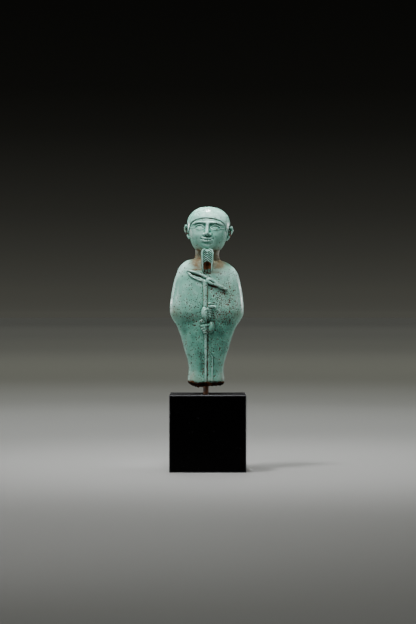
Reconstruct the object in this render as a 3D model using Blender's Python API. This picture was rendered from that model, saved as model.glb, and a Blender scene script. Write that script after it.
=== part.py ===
"""Egyptian faience figurine of a mummiform god, standing on a rod in a square block.

Metres, +Z up. The figure faces -Y, and the origin is the middle of the block's underside.
The figure is modelled in shares: one share is a hundredth of its own height. It is scaled
to FIGURE_HEIGHT when it is finished, so the block and the rod keep their own sizes.
"""

import math

import bmesh
import bpy
import numpy as np
from mathutils import Matrix, Vector

# Block, in metres
BLOCK_WIDTH = 0.042
BLOCK_DEPTH = 0.042
BLOCK_HEIGHT = 0.042
BLOCK_EDGE = 0.0003

# Rod, in metres
ROD_DIAMETER = 0.003
ROD_IN_BLOCK = 0.018
ROD_IN_FIGURE = 0.014
ROD_CLEARANCE = 0.0003
ROD_ASIDE = -0.0010

# Figure, in metres and degrees: it is threaded on the rod, clear of the block
FIGURE_HEIGHT = 0.100
FIGURE_LIFT = 0.0034
FIGURE_LEAN = 0.62

# How finely the solid is cut: the skin's grid in shares, and the triangles that are kept
SKIN_GRID = 0.26
SKIN_TRIANGLES = 9300

# Mantle, neck and legs from the break up, in shares: height, half width, front, back, squareness
MANTLE = (
    (0.0, 8.6, 2.0, 5.2, 2.6),
    (0.5, 9.5, 4.0, 6.6, 2.6),
    (1.5, 9.9, 6.3, 7.3, 2.5),
    (2.7, 10.1, 8.1, 7.6, 2.4),
    (4.0, 10.1, 8.3, 7.6, 2.35),
    (5.6, 10.0, 8.1, 7.5, 2.3),
    (8.6, 9.6, 7.8, 7.3, 2.2),
    (12.0, 9.8, 7.9, 7.3, 2.2),
    (20.8, 12.1, 8.7, 7.6, 2.2),
    (29.0, 14.5, 9.3, 8.0, 2.2),
    (34.0, 16.5, 9.6, 8.3, 2.25),
    (37.4, 18.7, 10.1, 8.6, 2.3),
    (40.2, 20.1, 11.1, 8.9, 2.35),
    (43.5, 20.4, 11.6, 9.1, 2.4),
    (53.9, 19.2, 11.0, 9.0, 2.45),
    (60.5, 17.8, 10.2, 8.7, 2.45),
    (65.4, 15.8, 9.4, 8.2, 2.4),
    (68.0, 13.6, 8.7, 7.8, 2.3),
    (69.5, 11.4, 8.0, 7.4, 2.2),
    (70.4, 9.0, 7.3, 7.1, 2.1),
    (71.0, 7.4, 6.8, 6.8, 2.0),
    (72.2, 6.8, 6.5, 6.6, 2.0),
    (75.5, 6.7, 6.4, 6.6, 2.0),
    (84.0, 7.4, 6.6, 6.8, 2.0),
)

# The drop of the right shoulder, as a slope
SHOULDER_TILT = 0.055

# Head, with its own heights counted from the chin: height, half width, front, back, squareness
HEAD = (
    (-1.0, 5.4, 7.2, 5.6, 2.1),
    (0.0, 7.0, 9.6, 6.6, 2.15),
    (1.8, 8.4, 10.8, 7.8, 2.2),
    (4.2, 9.5, 11.3, 9.3, 2.3),
    (8.0, 10.6, 11.4, 10.8, 2.35),
    (12.0, 11.35, 11.2, 11.7, 2.35),
    (14.8, 11.5, 10.9, 11.9, 2.3),
    (17.2, 10.9, 10.3, 11.3, 2.2),
    (19.3, 9.7, 9.2, 10.1, 2.15),
    (20.9, 8.1, 7.8, 8.5, 2.1),
    (22.1, 6.2, 6.0, 6.5, 2.05),
    (22.9, 3.9, 3.8, 4.1, 2.0),
    (23.2, 0.4, 0.4, 0.4, 2.0),
)
CHIN_HEIGHT = 76.5
HEAD_ASIDE = 0.1
HEAD_TURN = -3.0
HEAD_ROLL = 1.6

# The cap's lower edge round the head: degrees from the front, and height above the chin
CAP_EDGE = (
    (0.0, 17.1),
    (22.0, 16.7),
    (40.0, 15.5),
    (52.0, 13.6),
    (60.0, 10.6),
    (66.0, 9.4),
    (74.0, 12.8),
    (96.0, 13.4),
    (112.0, 8.6),
    (130.0, 5.6),
    (180.0, 5.0),
)
CAP_THICKNESS = 0.42

# An ear's rim and inner fold, out from the head and up from the ear's middle, and its place
EAR_RIM = (
    (-0.3, -3.3),
    (0.7, -2.5),
    (1.8, -1.0),
    (2.7, 0.5),
    (3.2, 1.9),
    (2.9, 3.1),
    (1.8, 3.6),
    (0.6, 3.1),
    (-0.1, 1.9),
)
EAR_RIM_RADII = (0.7, 0.62, 0.55, 0.52, 0.55, 0.58, 0.55, 0.48, 0.4)
EAR_FOLD = ((0.3, -1.9), (1.3, -0.4), (1.7, 1.0), (1.1, 2.1))
EAR_FOLD_RADIUS = 0.32
EAR_HEIGHT = 9.1
EAR_BASE = 10.4
EAR_SPLAY = 28.0

# Beard: the middle's x, its whole upper part, and the core that shows where the rest is lost
BEARD_ASIDE = 0.0
BEARD = (
    (69.3, 2.95, 12.6, 5.0, 7.0),
    (69.9, 3.05, 12.9, 5.0, 7.0),
    (73.7, 3.2, 13.1, 5.0, 6.0),
    (75.0, 3.0, 12.8, 5.0, 4.5),
    (75.7, 2.4, 12.3, 5.0, 3.6),
    (76.2, 1.5, 11.6, 5.0, 3.0),
)
BEARD_CORE = (
    (61.2, 2.1, 8.8, 5.0, 4.0),
    (63.3, 2.4, 10.2, 5.0, 7.0),
    (65.2, 2.7, 11.2, 5.0, 8.0),
    (69.0, 3.0, 11.8, 5.0, 8.0),
    (70.5, 3.0, 11.9, 5.0, 8.0),
)

# Beard's side rims, from the top: out from its middle, y, height and radius
BEARD_RIM = (
    (0.9, -11.5, 76.3, 0.4),
    (1.9, -12.0, 76.0, 0.46),
    (2.7, -12.4, 75.1, 0.52),
    (2.95, -12.6, 73.8, 0.52),
    (2.75, -12.5, 70.8, 0.5),
    (2.6, -12.2, 68.6, 0.46),
    (2.42, -11.9, 66.8, 0.42),
    (2.25, -11.4, 65.2, 0.37),
    (2.15, -10.9, 64.2, 0.32),
)

# Plait on the beard's front
PLAIT_BOTTOM = 69.6
PLAIT_TOP = 75.3
PLAIT_HALF = 2.25
PLAIT_PITCH = 1.12

# Back pillar
PILLAR_HALF_WIDTH = 4.6
PILLAR_BACK = 10.6
PILLAR_TOP = 81.0
PILLAR_BOTTOM = 1.2

# Sceptre, in x, height and radius, drawn on the front of the mantle
SHAFT_ABOVE = ((-0.6, 34.0, 0.9), (-0.9, 41.0, 1.0), (-0.95, 50.0, 1.0), (-1.0, 58.6, 1.35))
SHAFT_BELOW = ((-0.25, 2.4, 0.6), (-0.4, 20.0, 0.6), (-0.5, 32.0, 0.8))
UPPER_EAR = ((-10.7, 64.4, 0.42), (-6.6, 63.5, 0.5), (-2.6, 62.0, 0.6), (0.8, 60.2, 0.8))
LOWER_EAR = ((-10.5, 63.2, 0.45), (-8.4, 61.5, 0.6), (-5.0, 60.0, 0.66), (0.0, 58.4, 0.8))
EARS_TIP = (-10.9, 63.9, 0.5)
BEAST_SKULL = ((-0.4, 59.2, 1.1), (1.6, 59.0, 1.8), (4.0, 57.9, 1.4))
BEAST_SNOUT = ((7.0, 56.3, 0.95), (10.4, 54.5, 0.8))
BEAST_EYE = (2.5, 58.4)

# Hands, on the left above and on the right below: the middle of each fist's back in x and
# height, its half width and half height, and for each finger its height above the fist's
# middle, where it starts and ends across the shaft, and its radius
UPPER_FIST = (-1.0, 40.9)
UPPER_BACK = (2.1, 3.75)
UPPER_FINGERS = (
    (2.3, 0.9, 3.3, 0.56),
    (1.1, 1.5, 3.5, 0.56),
    (-0.1, 1.5, 3.4, 0.56),
    (-1.3, 1.4, 3.0, 0.54),
)
LOWER_FIST = (2.4, 33.4)
LOWER_BACK = (2.0, 3.5)
LOWER_FINGERS = (
    (0.9, 1.0, 5.5, 0.8),
    (-0.65, 2.0, 5.2, 0.54),
    (-1.75, 2.0, 4.4, 0.52),
    (-2.8, 2.0, 4.0, 0.48),
)
FIST_DEPTH = 2.5
FIST_TURN = 6.0

# Thumbs and the fold above the upper one: x, height, distance out and radius
UPPER_THUMB = ((0.8, 44.8, 1.0, 0.55), (2.5, 44.85, 1.5, 0.75), (4.1, 44.75, 1.1, 0.95))
UPPER_FOLD = ((0.7, 46.4, 0.0, 0.4), (2.1, 46.6, 0.1, 0.42), (3.5, 46.4, 0.0, 0.32))
LOWER_THUMB = ((-1.2, 35.5, 0.6, 0.9), (-2.1, 36.1, 1.1, 1.15), (-2.65, 36.6, 1.2, 1.35))

# How high the broken foot ends: x, and height above the lowest point
BREAK_EDGE = (
    (-9.6, 1.7),
    (-6.5, 0.8),
    (-4.3, 0.0),
    (-1.5, 0.6),
    (1.8, 0.9),
    (4.5, 1.1),
    (10.0, 1.2),
)

# Each material's colour, roughness and metallic value
FINISHES = {
    "faience": ((0.32, 0.52, 0.47, 1.0), 0.38, 0.0),
    "rod_steel": ((0.09, 0.045, 0.025, 1.0), 0.45, 0.8),
    "block_lacquer": ((0.006, 0.006, 0.007, 1.0), 0.3, 0.0),
}


def clear_scene():
    """Leaves no object in the scene."""
    for obj in list(bpy.data.objects):
        bpy.data.objects.remove(obj)


def finish(name):
    """The material of that name, made once."""
    if name in bpy.data.materials:
        return bpy.data.materials[name]
    color, roughness, metallic = FINISHES[name]
    material = bpy.data.materials.new(name)
    material.use_nodes = True
    shader = material.node_tree.nodes["Principled BSDF"]
    shader.inputs["Base Color"].default_value = color
    shader.inputs["Roughness"].default_value = roughness
    shader.inputs["Metallic"].default_value = metallic
    return material


def new_object(name, bm):
    """A mesh object of this bmesh, linked to the scene."""
    mesh = bpy.data.meshes.new(name)
    bm.to_mesh(mesh)
    bm.free()
    obj = bpy.data.objects.new(name, mesh)
    bpy.context.scene.collection.objects.link(obj)
    return obj


def smooth_rows(rows, count):
    """count rows, evenly spread along a smooth curve through the given rows."""
    rows = np.array(rows, float)
    steps = np.linalg.norm(np.diff(rows[:, :2], axis=0), axis=1)
    along = np.concatenate([[0.0], np.cumsum(steps)])
    slopes = np.gradient(rows, along, axis=0)
    where = np.linspace(0.0, along[-1], count)
    left = np.clip(np.searchsorted(along, where, side="right") - 1, 0, len(rows) - 2)
    span = (along[left + 1] - along[left])[:, None]
    t = (where[:, None] - along[left][:, None]) / span
    return (
        (2 * t**3 - 3 * t**2 + 1) * rows[left]
        + (t**3 - 2 * t**2 + t) * span * slopes[left]
        + (3 * t**2 - 2 * t**3) * rows[left + 1]
        + (t**3 - t**2) * span * slopes[left + 1]
    )


def places_of(mesh):
    """The places of a mesh's vertices, one row each."""
    flat = np.empty(len(mesh.vertices) * 3)
    mesh.vertices.foreach_get("co", flat)
    return flat.reshape(-1, 3)


def move_to(mesh, places):
    """Puts a mesh's vertices at these places."""
    mesh.vertices.foreach_set("co", places.ravel())
    mesh.update()


def ring_stack(table, middle=(0.0, 0.0), segments=96, rings=80):
    """A closed body through rings of the given height, half width, front, back and squareness."""
    bm = bmesh.new()
    bmesh.ops.create_cone(
        bm, cap_ends=True, segments=segments, radius1=1.0, radius2=1.0, depth=1.0
    )
    uprights = [e for e in bm.edges if abs(e.verts[0].co.z - e.verts[1].co.z) > 0.5]
    bmesh.ops.subdivide_edges(bm, edges=uprights, cuts=rings - 2, use_grid_fill=True)
    rows = smooth_rows(table, rings)
    for vert in bm.verts:
        ring = round((vert.co.z + 0.5) * (rings - 1))
        height, half_width, front, back, squareness = rows[ring]
        turn = math.atan2(vert.co.y, vert.co.x)
        across, deep = math.cos(turn), math.sin(turn)
        power = 2.0 / squareness
        vert.co.x = middle[0] + half_width * math.copysign(abs(across) ** power, across)
        reach = back if deep > 0 else front
        vert.co.y = middle[1] + reach * math.copysign(abs(deep) ** power, deep)
        vert.co.z = height
    return bm


MANTLE_ROWS = smooth_rows(MANTLE, 400)


def on_mantle(x, height, out=0.0):
    """The point of the mantle's front at this x and height, moved forward by out."""
    half_width, front, squareness = (
        np.interp(height, MANTLE_ROWS[:, 0], MANTLE_ROWS[:, column]) for column in (1, 2, 4)
    )
    inside = max(0.0, 1.0 - abs(x / half_width) ** squareness)
    return Vector((x, -front * inside ** (1.0 / squareness) - out, height))


def tube(points, radii):
    """A closed round tube through these points, with a radius at each."""
    rows = smooth_rows(np.column_stack([np.array(points), radii]), 4 * len(points) + 8)
    curve = bpy.data.curves.new("tube", "CURVE")
    curve.dimensions = "3D"
    curve.bevel_depth = 1.0
    curve.bevel_resolution = 4
    curve.use_fill_caps = True
    spline = curve.splines.new("POLY")
    spline.points.add(len(rows) - 1)
    for point, row in zip(spline.points, rows):
        point.co = (*row[:3], 1.0)
        point.radius = row[3]
    helper = bpy.data.objects.new("tube", curve)
    mesh = bpy.data.meshes.new_from_object(helper)
    bm = bmesh.new()
    bm.from_mesh(mesh)
    bpy.data.objects.remove(helper)
    bmesh.ops.remove_doubles(bm, verts=bm.verts, dist=1e-5)
    return bm


def ball(centre, radii, turn=0.0):
    """A round ball or egg, turned about the front-to-back axis by so many degrees."""
    bm = bmesh.new()
    bmesh.ops.create_icosphere(bm, subdivisions=3, radius=1.0)
    shape = (
        Matrix.Translation(centre)
        @ Matrix.Rotation(math.radians(turn), 4, "Y")
        @ Matrix.Diagonal((*radii, 1.0))
    )
    bmesh.ops.transform(bm, matrix=shape, verts=bm.verts)
    return bm


def rod_on_mantle(line, out=0.0):
    """A tube along a line of x, height and radius drawn on the mantle's front."""
    rows = smooth_rows(line, 3 * len(line))
    points = [on_mantle(x, height, out) for x, height, _ in rows]
    return tube(points, rows[:, 2])


def head_place():
    """The head's own frame, from its chin, in the figure's shares."""
    return (
        Matrix.Translation((HEAD_ASIDE, 0.0, CHIN_HEIGHT))
        @ Matrix.Rotation(math.radians(HEAD_ROLL), 4, "Y")
        @ Matrix.Rotation(math.radians(HEAD_TURN), 4, "Z")
    )


def ear(side):
    """The pieces of one ear, in the head's frame: rim, inner fold, lobe and the plate behind."""
    turn = Matrix.Rotation(side * math.radians(EAR_SPLAY), 4, "Z")
    place = Matrix.Translation((side * EAR_BASE, 0.6, EAR_HEIGHT)) @ turn
    rim = [(side * out, 0.0, up) for out, up in EAR_RIM]
    fold = [(side * out, 0.4, up) for out, up in EAR_FOLD]
    pieces = [
        tube(rim, EAR_RIM_RADII),
        tube(fold, [EAR_FOLD_RADIUS] * len(fold)),
        ball((side * -0.1, 0.1, -2.9), (0.8, 0.75, 0.85)),
        ball((side * 1.0, 0.85, 0.2), (2.2, 0.5, 3.3), turn=side * 16.0),
    ]
    for piece in pieces:
        bmesh.ops.transform(piece, matrix=place, verts=piece.verts)
    return pieces


def pillar():
    """The plain pillar down the back, from the broken foot to the nape."""
    bm = bmesh.new()
    bmesh.ops.create_cube(bm, size=1.0)
    depth = PILLAR_BACK - 2.0
    tall = PILLAR_TOP - PILLAR_BOTTOM
    bmesh.ops.scale(bm, vec=(2 * PILLAR_HALF_WIDTH, depth, tall), verts=bm.verts)
    middle = (0.0, 2.0 + depth / 2, PILLAR_BOTTOM + tall / 2)
    bmesh.ops.translate(bm, vec=middle, verts=bm.verts)
    return bm


def fist(middle, half_size, side, fingers):
    """A hand's back on the given side of the shaft, and its fingers reaching to the other side."""
    x, height = middle
    half_width, half_height = half_size
    back = (half_width, FIST_DEPTH, half_height)
    pieces = [ball(on_mantle(x, height, 0.8), back, turn=side * FIST_TURN)]
    for up, start, reach, radius in fingers:
        level = height + up
        line = (
            on_mantle(x - side * start, level + 0.3, 1.9),
            on_mantle(x - side * (start + reach) / 2, level + 0.1, 2.3),
            on_mantle(x - side * reach, level - 0.35, 0.8),
        )
        behind = [on_mantle(point.x, point.z) for point in line]
        pieces.append(tube(line, [radius, radius, radius * 0.85]))
        pieces.append(tube(behind, [1.3, 1.4, radius]))
    return pieces


def thumb(line):
    """A thumb along a line on the mantle, with a round end and no gap behind."""
    points = [on_mantle(*row[:3]) for row in line]
    behind = [on_mantle(x, height, out / 3) for x, height, out, _ in line]
    radii = [row[3] for row in line]
    end = ball(points[-1], (radii[-1], radii[-1], radii[-1]))
    return [tube(points, radii), tube(behind, radii), end]


def hands():
    """Both fists, one above the other on the sceptre, with their thumbs."""
    return [
        *fist(UPPER_FIST, UPPER_BACK, -1, UPPER_FINGERS),
        *fist(LOWER_FIST, LOWER_BACK, 1, LOWER_FINGERS),
        *thumb(UPPER_THUMB),
        *thumb(UPPER_FOLD),
        *thumb(LOWER_THUMB),
    ]


def sceptre():
    """The shaft and the beast's head that tops it, with its two long ears."""
    x, height, radius = BEAST_SNOUT[-1]
    snout_end = on_mantle(x, height, 0.6)
    tip_x, tip_height, tip_radius = EARS_TIP
    ears_tip = on_mantle(tip_x, tip_height, 0.2)
    return [
        rod_on_mantle(SHAFT_ABOVE, 0.3),
        rod_on_mantle(SHAFT_BELOW, 0.0),
        rod_on_mantle(UPPER_EAR, 0.5),
        rod_on_mantle(LOWER_EAR, 0.5),
        rod_on_mantle(BEAST_SKULL + BEAST_SNOUT, 0.7),
        ball(snout_end, (radius * 1.15, radius, radius)),
        ball(ears_tip, (tip_radius, tip_radius, tip_radius * 1.5)),
    ]


def beard():
    """The false beard: its whole upper part, the core of the lost part, and its two side rims."""
    middle = (BEARD_ASIDE, 0.0)
    rims = []
    for side in (-1, 1):
        line = [(BEARD_ASIDE + side * x, y, height) for x, y, height, _ in BEARD_RIM]
        rims.append(tube(line, [row[3] for row in BEARD_RIM]))
    return [
        ring_stack(BEARD, middle, segments=64, rings=24),
        ring_stack(BEARD_CORE, middle, segments=64, rings=24),
        *rims,
    ]


def joined(name, pieces):
    """One object holding all these bmeshes, each still a shell of its own."""
    whole = bmesh.new()
    for piece in pieces:
        mesh = bpy.data.meshes.new("piece")
        bmesh.ops.recalc_face_normals(piece, faces=piece.faces)
        piece.to_mesh(mesh)
        piece.free()
        whole.from_mesh(mesh)
        bpy.data.meshes.remove(mesh)
    return new_object(name, whole)


def keep_modifiers(obj):
    """Makes the object's modifiers part of its mesh."""
    graph = bpy.context.evaluated_depsgraph_get()
    mesh = bpy.data.meshes.new_from_object(obj.evaluated_get(graph))
    obj.modifiers.clear()
    old, obj.data = obj.data, mesh
    bpy.data.meshes.remove(old)


def fuse(obj, grid, rounds):
    """Melts overlapping shells into one skin on a grid, and softens its seams."""
    skin = obj.modifiers.new("Skin", "REMESH")
    skin.mode = "VOXEL"
    skin.voxel_size = grid
    soften = obj.modifiers.new("Soften", "SMOOTH")
    soften.factor = 0.5
    soften.iterations = rounds
    keep_modifiers(obj)


def bump(distance, width):
    """A soft round bump: 1 at distance 0, falling away over the width."""
    return np.exp(-((distance / width) ** 2))


def step(value, edge, soft):
    """0 below the edge and 1 above it, with a soft rise."""
    t = np.clip((value - edge) / soft + 0.5, 0.0, 1.0)
    return t * t * (3.0 - 2.0 * t)


def face_relief(x, height):
    """How far the face stands forward of the plain head, by x and height above the chin."""
    side = np.abs(x)
    sockets = -1.5 * bump(side - 4.2, 2.9) * bump(height - 12.2, 1.9)
    inner_corners = -0.6 * bump(side - 1.9, 0.9) * bump(height - 12.7, 1.4)
    brow_height = 14.7 - 0.05 * (side - 3.8) ** 2
    brow_ends = step(8.6 - side, 0.0, 1.6) * step(side, 0.9, 0.8)
    brows = 0.6 * bump(height - brow_height, 0.5) * brow_ends

    across = (side - 4.4) / 2.7
    upwards = (height - 11.7) / np.where(height > 11.7, 1.35, 1.0)
    inside = 1.0 - across**2 - np.abs(upwards)
    eyeball = 1.2 * bump(side - 4.4, 2.4) * bump(height - 11.7, 1.5)
    opening = -0.3 * step(inside, 0.08, 0.24)
    rim = 0.3 * bump(inside + 0.14, 0.2) * step(3.2 - np.abs(side - 4.4), 0.0, 0.8)
    lid_fold = -0.22 * bump(inside + 0.62, 0.2) * step(height, 11.9, 0.6)
    lid_fold *= step(2.9 - np.abs(side - 4.4), 0.0, 0.8)
    tail = 0.28 * bump(height - 11.45, 0.26) * step(side, 7.0, 0.5) * step(9.4 - side, 0.0, 0.8)

    cheeks = 0.7 * bump(side - 5.4, 3.2) * bump(height - 7.4, 3.0)
    levels = (6.9, 7.5, 8.3, 9.6, 11.5, 13.2, 14.6, 15.8)
    nose_rise = np.interp(height, levels, (0.0, 1.1, 2.6, 2.35, 1.65, 1.0, 0.45, 0.0))
    nose_half = np.interp(height, levels, (1.6, 1.5, 1.35, 1.1, 0.9, 0.85, 1.2, 1.8))
    nose = nose_rise * np.exp(-((side / nose_half) ** 2.4))
    wings = 0.85 * bump(side - 1.7, 0.75) * bump(height - 8.0, 0.8)
    nostrils = -0.45 * bump(side - 0.85, 0.42) * bump(height - 7.3, 0.4)

    muzzle = 0.65 * bump(x, 3.8) * bump(height - 4.9, 2.8)
    groove = -0.22 * bump(x, 0.45) * bump(height - 6.6, 0.7)
    smile = 0.055 * side**2
    bow = 0.14 * bump(side - 0.75, 0.6)
    upper_lip = 0.6 * bump(height - 5.65 - smile - bow, 0.5)
    upper_lip *= np.clip(1.0 - (side / 3.3) ** 2, 0.0, 1.0)
    lower_lip = 0.7 * bump(height - 4.25 - 0.6 * smile, 0.62)
    lower_lip *= np.clip(1.0 - (side / 2.8) ** 2, 0.0, 1.0)
    mouth_line = -0.42 * bump(height - 4.98 - smile, 0.24) * step(3.3 - side, 0.0, 0.6)
    corners = -0.4 * bump(side - 3.4, 0.6) * bump(height - 5.6, 0.7)
    under_lip = -0.4 * bump(x, 2.4) * bump(height - 3.1, 0.7)
    chin = 0.7 * bump(x, 2.8) * bump(height - 1.3, 1.6)
    eyes = sockets + inner_corners + brows + eyeball + opening + rim + lid_fold + tail
    mouth = muzzle + groove + upper_lip + lower_lip + mouth_line + corners + under_lip
    return eyes + cheeks + nose + wings + nostrils + mouth + chin


def carve_head(places, normals):
    """Raises the cap and the face on the head's skin."""
    frame = np.array(head_place())
    own = (places - frame[:3, 3]) @ frame[:3, :3]
    facing = normals @ frame[:3, :3]
    x, y, height = own.T
    around = np.degrees(np.arctan2(np.abs(x), -y))
    from_axis = np.hypot(x, y)
    skull = step(height, 0.3, 1.0) * step(13.0 - from_axis, 0.0, 1.0)

    edge = np.interp(around, *smooth_rows(CAP_EDGE, 200).T)
    cap = CAP_THICKNESS * step(height, edge, 0.5) * skull
    outward = np.column_stack([x, y, 0.35 * np.maximum(height - 14.0, 0.0)])
    outward /= np.maximum(np.linalg.norm(outward, axis=1), 1e-6)[:, None]
    own = own + outward * cap[:, None]

    on_face = step(-facing[:, 1], 0.25, 0.5) * step(11.0 - np.abs(x), 0.0, 1.5)
    on_face *= step(-y, 2.0, 2.0)
    own[:, 1] -= face_relief(x, height) * on_face
    return own @ frame[:3, :3].T + frame[:3, 3]


def carve_beard(places, normals):
    """Cuts the plait into the beard's front, and the hollow where its lower part is lost."""
    x, y, height = places.T
    side = np.abs(x - BEARD_ASIDE)
    front = step(-normals[:, 1], 0.5, 0.3) * step(-y, 11.8, 0.6)
    ends = step(height, PLAIT_BOTTOM, 0.4) * step(PLAIT_TOP - height, 0.0, 0.5)
    plait = front * ends * step(PLAIT_HALF - side, 0.0, 0.35)
    strand = np.cos(2 * math.pi * (height + 0.75 * side) / PLAIT_PITCH)
    top = PLAIT_BOTTOM - 0.3 - 0.25 * side**2
    ahead = step(-normals[:, 1], 0.5, 0.3) * step(height, 62.6, 1.2) * step(-y, 9.6, 1.0)
    lost = ahead * step(top - height, 0.0, 0.4) * step(2.1 - side, 0.0, 0.4)
    rough = 0.12 * np.sin(3.1 * x + 1.9 * height) * np.sin(2.3 * height - 1.1 * x)
    moved = places.copy()
    moved[:, 1] += plait * (0.1 - 0.17 * strand) + lost * (0.8 + rough)
    return moved


def carve_mantle(places, normals):
    """Shapes the arms under the cloth, the band beside the shaft and the broken foot."""
    x, y, height = places.T
    side = np.abs(x)
    forward = step(-normals[:, 1], 0.15, 0.5) * step(70.0 - height, 0.0, 2.0)
    forearm_height = 42.2 - 0.12 * (side - 10.0)
    forearms = 0.55 * bump(height - forearm_height, 3.0) * bump(side - 11.0, 6.5)
    below_arms = -0.7 * bump(height - 36.6 + 0.10 * (side - 8.0), 1.7) * bump(side - 10.5, 6.0)
    between_ears = 61.6 - 0.36 * (x + 5.0)
    ear_gap = -0.6 * bump(height - between_ears, 0.45) * bump(x + 5.8, 3.1)
    eye_x, eye_height = BEAST_EYE
    eye_line = height - eye_height + 0.6 * (x - eye_x)
    beast_eye = -0.6 * bump(eye_line, 0.5) * bump(x - eye_x, 1.3)
    band_top = np.where(x < 1.0, 20.2, 20.2 - 1.12 * (x - 1.0))
    band = 0.3 * step(x, 0.2, 0.4) * step(3.5 - x, 0.0, 0.4) * step(band_top - height, 0.0, 0.4)
    ridge = 0.15 * bump(x - 3.4, 0.35) * step(17.4 - height, 0.0, 0.6)
    groove = -0.4 * bump(x - 0.75, 0.4) * step(29.5 - height, 0.0, 1.5)
    on_front = forward * step(-y, 4.0, 2.0)
    moved = places.copy()
    relief = forearms + below_arms + ear_gap + beast_eye + band + ridge + groove
    moved[:, 1] -= relief * on_front

    tilt = SHOULDER_TILT * x * step(height, 66.0, 8.0) * step(72.5 - height, 0.0, 2.0)
    near_break = step(3.2 - height, 0.0, 3.0)
    chips = 0.3 * np.sin(2.1 * x + 0.9 * y) * np.sin(1.7 * y - 0.8 * x + 1.3)
    moved[:, 2] += (np.interp(x, *np.array(BREAK_EDGE).T) + chips) * near_break - tilt
    return moved


def normals_of(mesh):
    """The vertex normals of a mesh, one row each."""
    flat = np.empty(len(mesh.vertices) * 3, np.float32)
    mesh.vertex_normals.foreach_get("vector", flat)
    return flat.reshape(-1, 3).astype(float)


def in_head_frame(pieces):
    """The pieces moved from the head's own frame into the figure's."""
    for piece in pieces:
        bmesh.ops.transform(piece, matrix=head_place(), verts=piece.verts)
    return pieces


def figure_skin(grid, rounds):
    """The whole figure as one carved skin, in shares, standing on its lowest point."""
    head = in_head_frame([ring_stack(HEAD), *ear(-1), *ear(1)])
    body = ring_stack(MANTLE, rings=170)
    pieces = [body, *head, *beard(), pillar(), *sceptre(), *hands()]
    skin = joined("figurine", pieces)
    fuse(skin, grid, rounds)
    for carve in (carve_mantle, carve_head, carve_beard):
        move_to(skin.data, carve(places_of(skin.data), normals_of(skin.data)))
    places = places_of(skin.data)
    low, high = places[:, 2].min(), places[:, 2].max()
    places[:, 2] -= low
    move_to(skin.data, places * 100.0 / (high - low))
    return skin


def bore(name, radius, bottom, top):
    """An upright cutter for the rod's hole, hidden from the render."""
    bm = bmesh.new()
    bmesh.ops.create_cone(
        bm, cap_ends=True, segments=32, radius1=radius, radius2=radius, depth=top - bottom
    )
    bmesh.ops.translate(bm, vec=(ROD_ASIDE, 0.0, (top + bottom) / 2), verts=bm.verts)
    cutter = new_object(name, bm)
    cutter.hide_render = True
    cutter.display_type = "WIRE"
    return cutter


def cut(obj, cutter):
    """Cuts the cutter's shape out of the object."""
    modifier = obj.modifiers.new("Bore", "BOOLEAN")
    modifier.operation = "DIFFERENCE"
    modifier.solver = "EXACT"
    modifier.object = cutter


def make_figure(bottom):
    """The figurine, its lowest point at the given height, with a blind bore for the rod."""
    figure = figure_skin(SKIN_GRID, 2)
    thin = figure.modifiers.new("Fewer faces", "DECIMATE")
    thin.ratio = SKIN_TRIANGLES / (2 * len(figure.data.polygons))
    keep_modifiers(figure)
    place = (
        Matrix.Translation((ROD_ASIDE, 0.0, bottom))
        @ Matrix.Rotation(math.radians(FIGURE_LEAN), 4, "Y")
        @ Matrix.Scale(FIGURE_HEIGHT / 100.0, 4)
    )
    figure.data.transform(place)
    figure.data.materials.append(finish("faience"))
    figure.data.shade_smooth()
    figure.data.set_sharp_from_angle(angle=math.radians(40))
    return figure


def make_block():
    """The square block, with crisp edges taken off a little."""
    bm = bmesh.new()
    bmesh.ops.create_cube(bm, size=1.0)
    bmesh.ops.scale(bm, vec=(BLOCK_WIDTH, BLOCK_DEPTH, BLOCK_HEIGHT), verts=bm.verts)
    bmesh.ops.translate(bm, vec=(0.0, 0.0, BLOCK_HEIGHT / 2), verts=bm.verts)
    block = new_object("base_block", bm)
    edges = block.modifiers.new("Edges", "BEVEL")
    edges.width = BLOCK_EDGE
    edges.segments = 2
    block.data.materials.append(finish("block_lacquer"))
    return block


def make_rod(bottom, top):
    """The round rod that carries the figure."""
    bm = bmesh.new()
    radius = ROD_DIAMETER / 2
    bmesh.ops.create_cone(
        bm, cap_ends=True, segments=32, radius1=radius, radius2=radius, depth=top - bottom
    )
    bmesh.ops.translate(bm, vec=(0.0, 0.0, (top + bottom) / 2), verts=bm.verts)
    rod = new_object("mount_rod", bm)
    rod.location.x = ROD_ASIDE
    rod.data.materials.append(finish("rod_steel"))
    rod.data.shade_smooth()
    rod.data.set_sharp_from_angle(angle=math.radians(40))
    return rod


def main():
    """Makes the block, the rod and the figurine."""
    clear_scene()
    figure_bottom = BLOCK_HEIGHT + FIGURE_LIFT
    rod_bottom = BLOCK_HEIGHT - ROD_IN_BLOCK
    rod_top = figure_bottom + ROD_IN_FIGURE
    bore_radius = ROD_DIAMETER / 2 + ROD_CLEARANCE

    block = make_block()
    make_rod(rod_bottom, rod_top)
    figure = make_figure(figure_bottom)
    past = BLOCK_HEIGHT / 4
    cut(block, bore("block_bore", bore_radius, rod_bottom - ROD_CLEARANCE, BLOCK_HEIGHT + past))
    cut(figure, bore("figure_bore", bore_radius, figure_bottom - past, rod_top + ROD_CLEARANCE))


main()
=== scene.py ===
"""Egyptian faience figurine on a rod in a square block: its finished surfaces, floor and lights.

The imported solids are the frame. The block and the rod stay and get their finishes here. The
figurine is made again on a finer grid, with its glaze, pits, stains and breaks, and stands for
its solid. The figure is modelled in shares: one share is a hundredth of its own height.
"""

import math

import bmesh
import bpy
import numpy as np
from bpy.props import FloatProperty, FloatVectorProperty, IntProperty, PointerProperty
from mathutils import Matrix, Vector
from mathutils.kdtree import KDTree


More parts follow.
